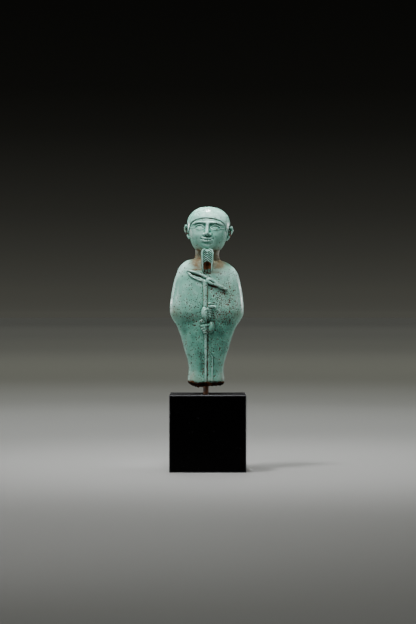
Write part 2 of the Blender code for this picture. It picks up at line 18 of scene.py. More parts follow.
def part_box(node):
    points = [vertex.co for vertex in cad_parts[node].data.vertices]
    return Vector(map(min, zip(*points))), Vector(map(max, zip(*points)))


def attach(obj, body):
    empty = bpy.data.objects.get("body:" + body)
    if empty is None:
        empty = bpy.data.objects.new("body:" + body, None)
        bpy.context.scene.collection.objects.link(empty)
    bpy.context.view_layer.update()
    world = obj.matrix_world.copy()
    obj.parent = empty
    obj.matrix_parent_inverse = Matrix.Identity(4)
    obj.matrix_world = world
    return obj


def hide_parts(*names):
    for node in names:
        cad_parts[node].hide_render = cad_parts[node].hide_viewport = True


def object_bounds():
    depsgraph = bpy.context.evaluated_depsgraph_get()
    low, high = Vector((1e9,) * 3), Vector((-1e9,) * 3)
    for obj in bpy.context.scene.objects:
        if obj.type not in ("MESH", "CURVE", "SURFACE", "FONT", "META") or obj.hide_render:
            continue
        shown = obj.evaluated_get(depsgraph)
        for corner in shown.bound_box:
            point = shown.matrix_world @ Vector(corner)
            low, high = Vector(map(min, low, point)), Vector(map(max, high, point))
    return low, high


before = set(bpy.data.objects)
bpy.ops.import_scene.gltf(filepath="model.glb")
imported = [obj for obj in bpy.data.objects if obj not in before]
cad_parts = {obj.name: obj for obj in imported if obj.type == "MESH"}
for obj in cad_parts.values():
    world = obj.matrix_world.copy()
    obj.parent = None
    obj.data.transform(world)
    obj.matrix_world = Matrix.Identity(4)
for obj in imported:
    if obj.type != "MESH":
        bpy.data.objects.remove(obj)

bl_info = {
    "name": "Faience figurine",
    "version": (1, 0, 0),
    "blender": (4, 5, 0),
    "location": "3D View > Sidebar > Figurine",
    "description": "Makes a faience figurine with its rod, block, floor and lights",
    "category": "Object",
}

CAD_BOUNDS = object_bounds()
BLOCK_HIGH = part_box("base_block")[1]
ROD_LOW, ROD_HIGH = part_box("mount_rod")

# Rod and figure, in metres and degrees: the figure is threaded on the rod, clear of the block
ROD_MIDDLE = (ROD_LOW.x + ROD_HIGH.x) / 2
ROD_RADIUS = (ROD_HIGH.x - ROD_LOW.x) / 2
ROD_CLEARANCE = 0.0003
FIGURE_HEIGHT = 0.100
FIGURE_LIFT = 0.0034
FIGURE_LEAN = 0.62

# Mantle, neck and legs from the break up, in shares: height, half width, front, back, squareness
MANTLE = (
    (0.0, 8.6, 2.0, 5.2, 2.6),
    (0.5, 9.5, 4.0, 6.6, 2.6),
    (1.5, 9.9, 6.3, 7.3, 2.5),
    (2.7, 10.1, 8.1, 7.6, 2.4),
    (4.0, 10.1, 8.3, 7.6, 2.35),
    (5.6, 10.0, 8.1, 7.5, 2.3),
    (8.6, 9.6, 7.8, 7.3, 2.2),
    (12.0, 9.8, 7.9, 7.3, 2.2),
    (20.8, 12.1, 8.7, 7.6, 2.2),
    (29.0, 14.5, 9.3, 8.0, 2.2),
    (34.0, 16.5, 9.6, 8.3, 2.25),
    (37.4, 18.7, 10.1, 8.6, 2.3),
    (40.2, 20.1, 11.1, 8.9, 2.35),
    (43.5, 20.4, 11.6, 9.1, 2.4),
    (53.9, 19.2, 11.0, 9.0, 2.45),
    (60.5, 17.8, 10.2, 8.7, 2.45),
    (65.4, 15.8, 9.4, 8.2, 2.4),
    (68.0, 13.6, 8.7, 7.8, 2.3),
    (69.5, 11.4, 8.0, 7.4, 2.2),
    (70.4, 9.0, 7.3, 7.1, 2.1),
    (71.0, 7.4, 6.8, 6.8, 2.0),
    (72.2, 6.8, 6.5, 6.6, 2.0),
    (75.5, 6.7, 6.4, 6.6, 2.0),
    (84.0, 7.4, 6.6, 6.8, 2.0),
)

# The drop of the right shoulder, as a slope
SHOULDER_TILT = 0.055

# Head, with its own heights counted from the chin: height, half width, front, back, squareness
HEAD = (
    (-1.0, 5.4, 7.2, 5.6, 2.1),
    (0.0, 7.0, 9.6, 6.6, 2.15),
    (1.8, 8.4, 10.8, 7.8, 2.2),
    (4.2, 9.5, 11.3, 9.3, 2.3),
    (8.0, 10.6, 11.4, 10.8, 2.35),
    (12.0, 11.35, 11.2, 11.7, 2.35),
    (14.8, 11.5, 10.9, 11.9, 2.3),
    (17.2, 10.9, 10.3, 11.3, 2.2),
    (19.3, 9.7, 9.2, 10.1, 2.15),
    (20.9, 8.1, 7.8, 8.5, 2.1),
    (22.1, 6.2, 6.0, 6.5, 2.05),
    (22.9, 3.9, 3.8, 4.1, 2.0),
    (23.2, 0.4, 0.4, 0.4, 2.0),
)
CHIN_HEIGHT = 76.5
HEAD_ASIDE = 0.1
HEAD_TURN = -3.0
HEAD_ROLL = 1.6

# The cap's lower edge round the head: degrees from the front, and height above the chin
CAP_EDGE = (
    (0.0, 17.1),
    (22.0, 16.7),
    (40.0, 15.5),
    (52.0, 13.6),
    (60.0, 10.6),
    (66.0, 9.4),
    (74.0, 12.8),
    (96.0, 13.4),
    (112.0, 8.6),
    (130.0, 5.6),
    (180.0, 5.0),
)
CAP_THICKNESS = 0.42

# An ear's rim and inner fold, out from the head and up from the ear's middle, and its place
EAR_RIM = (
    (-0.3, -3.3),
    (0.7, -2.5),
    (1.8, -1.0),
    (2.7, 0.5),
    (3.2, 1.9),
    (2.9, 3.1),
    (1.8, 3.6),
    (0.6, 3.1),
    (-0.1, 1.9),
)
EAR_RIM_RADII = (0.7, 0.62, 0.55, 0.52, 0.55, 0.58, 0.55, 0.48, 0.4)
EAR_FOLD = ((0.3, -1.9), (1.3, -0.4), (1.7, 1.0), (1.1, 2.1))
EAR_FOLD_RADIUS = 0.32
EAR_HEIGHT = 9.1
EAR_BASE = 10.4
EAR_SPLAY = 28.0

# Beard: the middle's x, its whole upper part, and the core that shows where the rest is lost
BEARD_ASIDE = 0.0
BEARD = (
    (69.3, 2.95, 12.6, 5.0, 7.0),
    (69.9, 3.05, 12.9, 5.0, 7.0),
    (73.7, 3.2, 13.1, 5.0, 6.0),
    (75.0, 3.0, 12.8, 5.0, 4.5),
    (75.7, 2.4, 12.3, 5.0, 3.6),
    (76.2, 1.5, 11.6, 5.0, 3.0),
)
BEARD_CORE = (
    (61.2, 2.1, 8.8, 5.0, 4.0),
    (63.3, 2.4, 10.2, 5.0, 7.0),
    (65.2, 2.7, 11.2, 5.0, 8.0),
    (69.0, 3.0, 11.8, 5.0, 8.0),
    (70.5, 3.0, 11.9, 5.0, 8.0),
)

# Beard's side rims, from the top: out from its middle, y, height and radius
BEARD_RIM = (
    (0.9, -11.5, 76.3, 0.4),
    (1.9, -12.0, 76.0, 0.46),
    (2.7, -12.4, 75.1, 0.52),
    (2.95, -12.6, 73.8, 0.52),
    (2.75, -12.5, 70.8, 0.5),
    (2.6, -12.2, 68.6, 0.46),
    (2.42, -11.9, 66.8, 0.42),
    (2.25, -11.4, 65.2, 0.37),
    (2.15, -10.9, 64.2, 0.32),
)

# Plait on the beard's front
PLAIT_BOTTOM = 69.6
PLAIT_TOP = 75.3
PLAIT_HALF = 2.25
PLAIT_PITCH = 1.12

# Back pillar
PILLAR_HALF_WIDTH = 4.6
PILLAR_FRONT = 2.0
PILLAR_BACK = 10.6
PILLAR_TOP = 81.0
PILLAR_BOTTOM = 1.2

# Sceptre, in x, height and radius, drawn on the front of the mantle
SHAFT_ABOVE = ((-0.6, 34.0, 0.9), (-0.9, 41.0, 1.0), (-0.95, 50.0, 1.0), (-1.0, 58.6, 1.35))
SHAFT_BELOW = ((-0.25, 2.4, 0.6), (-0.4, 20.0, 0.6), (-0.5, 32.0, 0.8))
UPPER_EAR = ((-10.7, 64.4, 0.42), (-6.6, 63.5, 0.5), (-2.6, 62.0, 0.6), (0.8, 60.2, 0.8))
LOWER_EAR = ((-10.5, 63.2, 0.45), (-8.4, 61.5, 0.6), (-5.0, 60.0, 0.66), (0.0, 58.4, 0.8))
EARS_TIP = (-10.9, 63.9, 0.5)
BEAST_SKULL = ((-0.4, 59.2, 1.1), (1.6, 59.0, 1.8), (4.0, 57.9, 1.4))
BEAST_SNOUT = ((7.0, 56.3, 0.95), (10.4, 54.5, 0.8))
BEAST_EYE = (2.5, 58.4)

# Hands, on the left above and on the right below: the middle of each fist's back in x and
# height, its half width and half height, and for each finger its height above the fist's
# middle, where it starts and ends across the shaft, and its radius
UPPER_FIST = (-1.0, 40.9)
UPPER_BACK = (2.1, 3.75)
UPPER_FINGERS = (
    (2.3, 0.9, 3.3, 0.56),
    (1.1, 1.5, 3.5, 0.56),
    (-0.1, 1.5, 3.4, 0.56),
    (-1.3, 1.4, 3.0, 0.54),
)
LOWER_FIST = (2.4, 33.4)
LOWER_BACK = (2.0, 3.5)
LOWER_FINGERS = (
    (0.9, 1.0, 5.5, 0.8),
    (-0.65, 2.0, 5.2, 0.54),
    (-1.75, 2.0, 4.4, 0.52),
    (-2.8, 2.0, 4.0, 0.48),
)
FIST_DEPTH = 2.5
FIST_TURN = 6.0

# Thumbs and the fold above the upper one: x, height, distance out and radius
UPPER_THUMB = ((0.8, 44.8, 1.0, 0.55), (2.5, 44.85, 1.5, 0.75), (4.1, 44.75, 1.1, 0.95))
UPPER_FOLD = ((0.7, 46.4, 0.0, 0.4), (2.1, 46.6, 0.1, 0.42), (3.5, 46.4, 0.0, 0.32))
LOWER_THUMB = ((-1.2, 35.5, 0.6, 0.9), (-2.1, 36.1, 1.1, 1.15), (-2.65, 36.6, 1.2, 1.35))

# How high the broken foot ends: x, and height above the lowest point
BREAK_EDGE = (
    (-9.6, 1.7),
    (-6.5, 0.8),
    (-4.3, 0.0),
    (-1.5, 0.6),
    (1.8, 0.9),
    (4.5, 1.1),
    (10.0, 1.2),
)


def new_object(name, bm):
    """A mesh object of this bmesh, linked to the scene."""
    mesh = bpy.data.meshes.new(name)
    bm.to_mesh(mesh)
    bm.free()
    obj = bpy.data.objects.new(name, mesh)
    bpy.context.scene.collection.objects.link(obj)
    return obj


def smooth_rows(rows, count):
    """count rows, evenly spread along a smooth curve through the given rows."""
    rows = np.array(rows, float)
    steps = np.linalg.norm(np.diff(rows[:, :2], axis=0), axis=1)
    along = np.concatenate([[0.0], np.cumsum(steps)])
    slopes = np.gradient(rows, along, axis=0)
    where = np.linspace(0.0, along[-1], count)
    left = np.clip(np.searchsorted(along, where, side="right") - 1, 0, len(rows) - 2)
    span = (along[left + 1] - along[left])[:, None]
    t = (where[:, None] - along[left][:, None]) / span
    return (
        (2 * t**3 - 3 * t**2 + 1) * rows[left]
        + (t**3 - 2 * t**2 + t) * span * slopes[left]
        + (3 * t**2 - 2 * t**3) * rows[left + 1]
        + (t**3 - t**2) * span * slopes[left + 1]
    )


def places_of(mesh):
    """The places of a mesh's vertices, one row each."""
    flat = np.empty(len(mesh.vertices) * 3)
    mesh.vertices.foreach_get("co", flat)
    return flat.reshape(-1, 3)


def normals_of(mesh):
    """The vertex normals of a mesh, one row each."""
    flat = np.empty(len(mesh.vertices) * 3, np.float32)
    mesh.vertex_normals.foreach_get("vector", flat)
    return flat.reshape(-1, 3).astype(float)


def move_to(mesh, places):
    """Puts a mesh's vertices at these places."""
    mesh.vertices.foreach_set("co", places.ravel())
    mesh.update()


def ring_stack(table, middle=(0.0, 0.0), segments=96, rings=80):
    """A closed body through rings: height, half width, front, back and squareness of each."""
    bm = bmesh.new()
    bmesh.ops.create_cone(
        bm, cap_ends=True, segments=segments, radius1=1.0, radius2=1.0, depth=1.0
    )
    uprights = [e for e in bm.edges if abs(e.verts[0].co.z - e.verts[1].co.z) > 0.5]
    bmesh.ops.subdivide_edges(bm, edges=uprights, cuts=rings - 2, use_grid_fill=True)
    rows = smooth_rows(table, rings)
    for vert in bm.verts:
        ring = round((vert.co.z + 0.5) * (rings - 1))
        height, half_width, front, back, squareness = rows[ring]
        turn = math.atan2(vert.co.y, vert.co.x)
        across, deep = math.cos(turn), math.sin(turn)
        power = 2.0 / squareness
        vert.co.x = middle[0] + half_width * math.copysign(abs(across) ** power, across)
        reach = back if deep > 0 else front
        vert.co.y = middle[1] + reach * math.copysign(abs(deep) ** power, deep)
        vert.co.z = height
    return bm


MANTLE_ROWS = smooth_rows(MANTLE, 400)


def on_mantle(x, height, out=0.0):
    """The point of the mantle's front at this x and height, moved forward by out."""
    half_width, front, squareness = (
        np.interp(height, MANTLE_ROWS[:, 0], MANTLE_ROWS[:, column]) for column in (1, 2, 4)
    )
    inside = max(0.0, 1.0 - abs(x / half_width) ** squareness)
    return Vector((x, -front * inside ** (1.0 / squareness) - out, height))


def tube(points, radii):
    """A closed round tube through these points, with a radius at each."""
    rows = smooth_rows(np.column_stack([np.array(points), radii]), 4 * len(points) + 8)
    curve = bpy.data.curves.new("tube", "CURVE")
    curve.dimensions = "3D"
    curve.bevel_depth = 1.0
    curve.bevel_resolution = 4
    curve.use_fill_caps = True
    spline = curve.splines.new("POLY")
    spline.points.add(len(rows) - 1)
    for point, row in zip(spline.points, rows):
        point.co = (*row[:3], 1.0)
        point.radius = row[3]
    helper = bpy.data.objects.new("tube", curve)
    mesh = bpy.data.meshes.new_from_object(helper)
    bm = bmesh.new()
    bm.from_mesh(mesh)
    bpy.data.objects.remove(helper)
    bmesh.ops.remove_doubles(bm, verts=bm.verts, dist=1e-5)
    return bm


def ball(centre, radii, turn=0.0):
    """A round ball or egg, turned about the front-to-back axis by so many degrees."""
    bm = bmesh.new()
    bmesh.ops.create_icosphere(bm, subdivisions=3, radius=1.0)
    shape = (
        Matrix.Translation(centre)
        @ Matrix.Rotation(math.radians(turn), 4, "Y")
        @ Matrix.Diagonal((*radii, 1.0))
    )
    bmesh.ops.transform(bm, matrix=shape, verts=bm.verts)
    return bm


def rod_on_mantle(line, out=0.0):
    """A tube along a line of x, height and radius drawn on the mantle's front."""
    rows = smooth_rows(line, 3 * len(line))
    points = [on_mantle(x, height, out) for x, height, _ in rows]
    return tube(points, rows[:, 2])


def put_in(pieces, place):
    """The pieces, each moved and turned by the matrix of their place."""
    for piece in pieces:
        bmesh.ops.transform(piece, matrix=place, verts=piece.verts)
    return pieces


def head_place():
    """The head's own frame, from its chin, in the figure's shares."""
    return (
        Matrix.Translation((HEAD_ASIDE, 0.0, CHIN_HEIGHT))
        @ Matrix.Rotation(math.radians(HEAD_ROLL), 4, "Y")
        @ Matrix.Rotation(math.radians(HEAD_TURN), 4, "Z")
    )


def head_axes():
    """The head's own origin and directions, in the figure's shares."""
    matrix = np.array(head_place())
    return matrix[:3, 3], matrix[:3, :3]


def cap_edge(x, y):
    """The degrees from the front round the head, and how high the cap's edge is there."""
    around = np.degrees(np.arctan2(np.abs(x), -y))
    return around, np.interp(around, *smooth_rows(CAP_EDGE, 200).T)


def break_height(x):
    """How high the broken foot ends, by x."""
    return np.interp(x, *np.array(BREAK_EDGE).T)


def ear(side):
    """The pieces of one ear, in the head's frame: rim, inner fold, lobe and the plate behind."""
    turn = Matrix.Rotation(side * math.radians(EAR_SPLAY), 4, "Z")
    place = Matrix.Translation((side * EAR_BASE, 0.6, EAR_HEIGHT)) @ turn
    rim = [(side * out, 0.0, up) for out, up in EAR_RIM]
    fold = [(side * out, 0.4, up) for out, up in EAR_FOLD]
    pieces = (
        tube(rim, EAR_RIM_RADII),
        tube(fold, [EAR_FOLD_RADIUS] * len(fold)),
        ball((side * -0.1, 0.1, -2.9), (0.8, 0.75, 0.85)),
        ball((side * 1.0, 0.85, 0.2), (2.2, 0.5, 3.3), turn=side * 16.0),
    )
    return put_in(pieces, place)


def pillar():
    """The plain pillar down the back, from the broken foot to the nape."""
    bm = bmesh.new()
    bmesh.ops.create_cube(bm, size=1.0)
    depth = PILLAR_BACK - PILLAR_FRONT
    tall = PILLAR_TOP - PILLAR_BOTTOM
    bmesh.ops.scale(bm, vec=(2 * PILLAR_HALF_WIDTH, depth, tall), verts=bm.verts)
    middle = (0.0, PILLAR_FRONT + depth / 2, PILLAR_BOTTOM + tall / 2)
    bmesh.ops.translate(bm, vec=middle, verts=bm.verts)
    return bm


def fist(middle, half_size, side, fingers):
    """A hand's back on the given side of the shaft, and its fingers reaching to the other side."""
    x, height = middle
    half_width, half_height = half_size
    back = (half_width, FIST_DEPTH, half_height)
    pieces = [ball(on_mantle(x, height, 0.8), back, turn=side * FIST_TURN)]
    for up, start, reach, radius in fingers:
        level = height + up
        line = (
            on_mantle(x - side * start, level + 0.3, 1.9),
            on_mantle(x - side * (start + reach) / 2, level + 0.1, 2.3),
            on_mantle(x - side * reach, level - 0.35, 0.8),
        )
        behind = [on_mantle(point.x, point.z) for point in line]
        pieces.append(tube(line, [radius, radius, radius * 0.85]))
        pieces.append(tube(behind, [1.3, 1.4, radius]))
    return pieces


def thumb(line):
    """A thumb along a line on the mantle, with a round end and no gap behind."""
    points = [on_mantle(*row[:3]) for row in line]
    behind = [on_mantle(x, height, out / 3) for x, height, out, _ in line]
    radii = [row[3] for row in line]
    end = ball(points[-1], (radii[-1], radii[-1], radii[-1]))
    return [tube(points, radii), tube(behind, radii), end]


def hands():
    """Both fists, one above the other on the sceptre, with their thumbs."""
    return [
        *fist(UPPER_FIST, UPPER_BACK, -1, UPPER_FINGERS),
        *fist(LOWER_FIST, LOWER_BACK, 1, LOWER_FINGERS),
        *thumb(UPPER_THUMB),
        *thumb(UPPER_FOLD),
        *thumb(LOWER_THUMB),
    ]


def sceptre():
    """The shaft and the beast's head that tops it, with its two long ears."""
    x, height, radius = BEAST_SNOUT[-1]
    snout_end = on_mantle(x, height, 0.6)
    tip_x, tip_height, tip_radius = EARS_TIP
    ears_tip = on_mantle(tip_x, tip_height, 0.2)
    return [
        rod_on_mantle(SHAFT_ABOVE, 0.3),
        rod_on_mantle(SHAFT_BELOW, 0.0),
        rod_on_mantle(UPPER_EAR, 0.5),
        rod_on_mantle(LOWER_EAR, 0.5),
        rod_on_mantle(BEAST_SKULL + BEAST_SNOUT, 0.7),
        ball(snout_end, (radius * 1.15, radius, radius)),
        ball(ears_tip, (tip_radius, tip_radius, tip_radius * 1.5)),
    ]


def beard():
    """The false beard: its whole upper part, the core of the lost part, and its two side rims."""
    middle = (BEARD_ASIDE, 0.0)
    rims = []
    for side in (-1, 1):
        line = [(BEARD_ASIDE + side * x, y, height) for x, y, height, _ in BEARD_RIM]
        rims.append(tube(line, [row[3] for row in BEARD_RIM]))
    return [
        ring_stack(BEARD, middle, segments=64, rings=24),
        ring_stack(BEARD_CORE, middle, segments=64, rings=24),
        *rims,
    ]


def joined(name, pieces):
    """One object holding all these bmeshes, each still a shell of its own."""
    whole = bmesh.new()
    for piece in pieces:
        mesh = bpy.data.meshes.new("piece")
        bmesh.ops.recalc_face_normals(piece, faces=piece.faces)
        piece.to_mesh(mesh)
        piece.free()
        whole.from_mesh(mesh)
        bpy.data.meshes.remove(mesh)
    return new_object(name, whole)


def worked_in(obj):
    """A new mesh of the object with its modifiers worked in. The object loses them."""
    graph = bpy.context.evaluated_depsgraph_get()
    mesh = bpy.data.meshes.new_from_object(obj.evaluated_get(graph))
    obj.modifiers.clear()
    return mesh


def keep_modifiers(obj):
    """Makes the object's modifiers part of its mesh."""
    old, obj.data = obj.data, worked_in(obj)
    bpy.data.meshes.remove(old)


def soften(obj, rounds):
    """Gives the object so many rounds of smoothing, as a modifier."""
    smoothing = obj.modifiers.new("Soften", "SMOOTH")
    smoothing.factor = 0.5
    smoothing.iterations = rounds


def fuse(obj, grid, rounds):
    """Melts overlapping shells into one skin on a grid, and softens its seams."""
    skin = obj.modifiers.new("Skin", "REMESH")
    skin.mode = "VOXEL"
    skin.voxel_size = grid
    soften(obj, rounds)
    keep_modifiers(obj)


def bump(distance, width):
    """A soft round bump: 1 at distance 0, falling away over the width."""
    return np.exp(-((distance / width) ** 2))


def step(value, edge, soft):
    """0 below the edge and 1 above it, with a soft rise."""
    t = np.clip((value - edge) / soft + 0.5, 0.0, 1.0)
    return t * t * (3.0 - 2.0 * t)


def step_down(value, edge, soft):
    """1 below the edge and 0 above it, with a soft fall."""
    return 1.0 - step(value, edge, soft)


def face_relief(x, height):
    """How far the face stands forward of the plain head, by x and height above the chin."""
    side = np.abs(x)
    sockets = -1.5 * bump(side - 4.2, 2.9) * bump(height - 12.2, 1.9)
    inner_corners = -0.6 * bump(side - 1.9, 0.9) * bump(height - 12.7, 1.4)
    brow_height = 14.7 - 0.05 * (side - 3.8) ** 2
    brow_ends = step(8.6 - side, 0.0, 1.6) * step(side, 0.9, 0.8)
    brows = 0.6 * bump(height - brow_height, 0.5) * brow_ends

    across = (side - 4.4) / 2.7
    upwards = (height - 11.7) / np.where(height > 11.7, 1.35, 1.0)
    inside = 1.0 - across**2 - np.abs(upwards)
    eyeball = 1.2 * bump(side - 4.4, 2.4) * bump(height - 11.7, 1.5)
    opening = -0.3 * step(inside, 0.08, 0.24)
    rim = 0.3 * bump(inside + 0.14, 0.2) * step(3.2 - np.abs(side - 4.4), 0.0, 0.8)
    lid_fold = -0.22 * bump(inside + 0.62, 0.2) * step(height, 11.9, 0.6)
    lid_fold *= step(2.9 - np.abs(side - 4.4), 0.0, 0.8)
    tail = 0.28 * bump(height - 11.45, 0.26) * step(side, 7.0, 0.5) * step(9.4 - side, 0.0, 0.8)

    cheeks = 0.7 * bump(side - 5.4, 3.2) * bump(height - 7.4, 3.0)
    levels = (6.9, 7.5, 8.3, 9.6, 11.5, 13.2, 14.6, 15.8)
    nose_rise = np.interp(height, levels, (0.0, 1.1, 2.6, 2.35, 1.65, 1.0, 0.45, 0.0))
    nose_half = np.interp(height, levels, (1.6, 1.5, 1.35, 1.1, 0.9, 0.85, 1.2, 1.8))
    nose = nose_rise * np.exp(-((side / nose_half) ** 2.4))
    wings = 0.85 * bump(side - 1.7, 0.75) * bump(height - 8.0, 0.8)
    nostrils = -0.45 * bump(side - 0.85, 0.42) * bump(height - 7.3, 0.4)

    muzzle = 0.65 * bump(x, 3.8) * bump(height - 4.9, 2.8)
    groove = -0.22 * bump(x, 0.45) * bump(height - 6.6, 0.7)
    smile = 0.055 * side**2
    bow = 0.14 * bump(side - 0.75, 0.6)
    upper_lip = 0.6 * bump(height - 5.65 - smile - bow, 0.5)
    upper_lip *= np.clip(1.0 - (side / 3.3) ** 2, 0.0, 1.0)
    lower_lip = 0.7 * bump(height - 4.25 - 0.6 * smile, 0.62)
    lower_lip *= np.clip(1.0 - (side / 2.8) ** 2, 0.0, 1.0)
    mouth_line = -0.42 * bump(height - 4.98 - smile, 0.24) * step(3.3 - side, 0.0, 0.6)
    corners = -0.4 * bump(side - 3.4, 0.6) * bump(height - 5.6, 0.7)
    under_lip = -0.4 * bump(x, 2.4) * bump(height - 3.1, 0.7)
    chin = 0.7 * bump(x, 2.8) * bump(height - 1.3, 1.6)
    eyes = sockets + inner_corners + brows + eyeball + opening + rim + lid_fold + tail
    mouth = muzzle + groove + upper_lip + lower_lip + mouth_line + corners + under_lip
    return eyes + cheeks + nose + wings + nostrils + mouth + chin


def carve_head(places, normals):
    """Raises the cap and the face on the head's skin."""
    origin, axes = head_axes()
    own, facing = (places - origin) @ axes, normals @ axes
    x, y, height = own.T
    skull = step(height, 0.3, 1.0) * step(13.0 - np.hypot(x, y), 0.0, 1.0)
    cap = CAP_THICKNESS * step(height, cap_edge(x, y)[1], 0.5) * skull
    outward = np.column_stack([x, y, 0.35 * np.maximum(height - 14.0, 0.0)])
    outward /= np.maximum(np.linalg.norm(outward, axis=1), 1e-6)[:, None]
    own = own + outward * cap[:, None]

    on_face = step(-facing[:, 1], 0.25, 0.5) * step(11.0 - np.abs(x), 0.0, 1.5)
    on_face *= step(-y, 2.0, 2.0)
    own[:, 1] -= face_relief(x, height) * on_face
    return own @ axes.T + origin


def carve_beard(places, normals):
    """Cuts the plait into the beard's front, and the hollow where its lower part is lost."""
    x, y, height = places.T
    side = np.abs(x - BEARD_ASIDE)
    front = step(-normals[:, 1], 0.5, 0.3) * step(-y, 11.8, 0.6)
    ends = step(height, PLAIT_BOTTOM, 0.4) * step(PLAIT_TOP - height, 0.0, 0.5)
    plait = front * ends * step(PLAIT_HALF - side, 0.0, 0.35)
    strand = np.cos(2 * math.pi * (height + 0.75 * side) / PLAIT_PITCH)
    top = PLAIT_BOTTOM - 0.3 - 0.25 * side**2
    ahead = step(-normals[:, 1], 0.5, 0.3) * step(height, 62.6, 1.2) * step(-y, 9.6, 1.0)
    lost = ahead * step(top - height, 0.0, 0.4) * step(2.1 - side, 0.0, 0.4)
    rough = 0.12 * np.sin(3.1 * x + 1.9 * height) * np.sin(2.3 * height - 1.1 * x)
    moved = places.copy()
    moved[:, 1] += plait * (0.1 - 0.17 * strand) + lost * (0.8 + rough)
    return moved


def carve_mantle(places, normals):
    """Shapes the arms under the cloth, the band beside the shaft and the broken foot."""
    x, y, height = places.T
    side = np.abs(x)
    forward = step(-normals[:, 1], 0.15, 0.5) * step(70.0 - height, 0.0, 2.0)
    forearm_height = 42.2 - 0.12 * (side - 10.0)
    forearms = 0.55 * bump(height - forearm_height, 3.0) * bump(side - 11.0, 6.5)
    below_arms = -0.7 * bump(height - 36.6 + 0.10 * (side - 8.0), 1.7) * bump(side - 10.5, 6.0)
    between_ears = 61.6 - 0.36 * (x + 5.0)
    ear_gap = -0.6 * bump(height - between_ears, 0.45) * bump(x + 5.8, 3.1)
    eye_x, eye_height = BEAST_EYE
    eye_line = height - eye_height + 0.6 * (x - eye_x)
    beast_eye = -0.6 * bump(eye_line, 0.5) * bump(x - eye_x, 1.3)
    band_top = np.where(x < 1.0, 20.2, 20.2 - 1.12 * (x - 1.0))
    band = 0.3 * step(x, 0.2, 0.4) * step(3.5 - x, 0.0, 0.4) * step(band_top - height, 0.0, 0.4)
    ridge = 0.15 * bump(x - 3.4, 0.35) * step(17.4 - height, 0.0, 0.6)
    groove = -0.4 * bump(x - 0.75, 0.4) * step(29.5 - height, 0.0, 1.5)
    on_front = forward * step(-y, 4.0, 2.0)
    moved = places.copy()
    relief = forearms + below_arms + ear_gap + beast_eye + band + ridge + groove
    moved[:, 1] -= relief * on_front

    tilt = SHOULDER_TILT * x * step(height, 66.0, 8.0) * step(72.5 - height, 0.0, 2.0)
    near_break = step(3.2 - height, 0.0, 3.0)
    chips = 0.3 * np.sin(2.1 * x + 0.9 * y) * np.sin(1.7 * y - 0.8 * x + 1.3)
    moved[:, 2] += (break_height(x) + chips) * near_break - tilt
    return moved


def figure_skin(grid):
    """The whole figure as one carved skin, in shares, standing on its lowest point."""
    head = put_in((ring_stack(HEAD), *ear(-1), *ear(1)), head_place())
    body = ring_stack(MANTLE, rings=170)
    pieces = [body, *head, *beard(), pillar(), *sceptre(), *hands()]
    skin = joined("figurine", pieces)
    fuse(skin, grid, SEAM_ROUNDS)
    for carve in (carve_mantle, carve_head, carve_beard):
        move_to(skin.data, carve(places_of(skin.data), normals_of(skin.data)))
    places = places_of(skin.data)
    low, high = places[:, 2].min(), places[:, 2].max()
    places[:, 2] -= low
    move_to(skin.data, places * 100.0 / (high - low))
    return skin


# Rounds of smoothing: over the skin's seams, and to tell small and wide hollows from the rest
SEAM_ROUNDS = 2
NEAR_ROUNDS = 8
WIDE_ROUNDS = 70

# Fine relief and wear, in shares: where the glaze ends above the break and how thick it is, the
# waves of the worked surface, the groove under the cap's edge (how far under, how wide and how
# deep), how far the plait's strands and the band's edge stand out, and the pits' radii
GLAZE_EDGE = 2.9
GLAZE_THICKNESS = 0.14
WAVINESS = 0.05
CAP_LINE_DROP = 0.42
CAP_LINE_WIDTH = 0.26
CAP_LINE_DEPTH = 0.16
STRAND_HEIGHT = 0.2
BAND_EDGE_HEIGHT = 0.34
PIT_RADIUS = 0.22
PIT_SPREAD = 0.07
PIT_LARGEST = 0.5

# How deep the glaze lies, by height: 0 is thin and pale, 1 is pooled. Beside the glaze's own
# thickness this paints light and shade: paler on the shoulders, as if lit from above, and deeper
# under the arms and on the legs, as if in shade
GLAZE_DEPTH_AND_SHADE = (
    (0.0, 0.45),
    (5.0, 0.42),
    (9.0, 0.54),
    (18.0, 0.62),
    (33.0, 0.64),
    (38.0, 0.50),
    (44.0, 0.42),
    (55.0, 0.38),
    (62.0, 0.22),
    (67.0, 0.04),
    (71.0, 0.36),
    (76.0, 0.40),
    (86.0, 0.38),
    (91.0, 0.32),
    (100.0, 0.28),
)

# The glaze's colours by that depth
GLAZE_TONES = ((0.0, "pale"), (0.4, "turquoise"), (0.75, "green"), (1.0, "deep"))

# Where the glaze on the front is deeper or thinner than that: x, height, half sizes, by how much.
# Some rows paint shade instead: under the beard, on the neck under the head, on the lower hand's
# back, on the right leg and under the right elbow
GLAZE_AND_SHADE_PATCHES = (
    (-3.0, 52.0, 5.0, 8.0, -0.05),
    (-2.2, 12.0, 1.2, 8.0, 0.28),
    (-18.0, 58.0, 5.0, 9.0, 0.09),
    # Painted shadow under the beard
    (0.0, 64.6, 2.2, 1.6, 0.9),
    # Painted shade on the neck under the head
    (-5.5, 73.5, 3.0, 4.0, 0.25),
    (5.5, 73.5, 3.0, 4.0, 0.35),
    (8.5, 68.0, 4.5, 3.0, 0.28),
    # Painted shade on the right leg, on the lower hand's back that turns down, and under the right
    # elbow
    (8.0, 27.0, 7.0, 10.0, 0.06),
    (3.6, 32.5, 2.0, 3.4, 0.25),
    (12.5, 37.0, 7.0, 1.8, 0.04),
    (0.0, 73.0, 2.4, 3.2, -0.3),
    (3.4, 8.5, 0.4, 7.0, -1.0),
    (-0.4, 18.0, 0.9, 12.0, -0.45),
    (-7.5, 6.0, 3.0, 4.0, -0.2),
    (8.5, 6.0, 2.4, 4.0, -0.16),
)

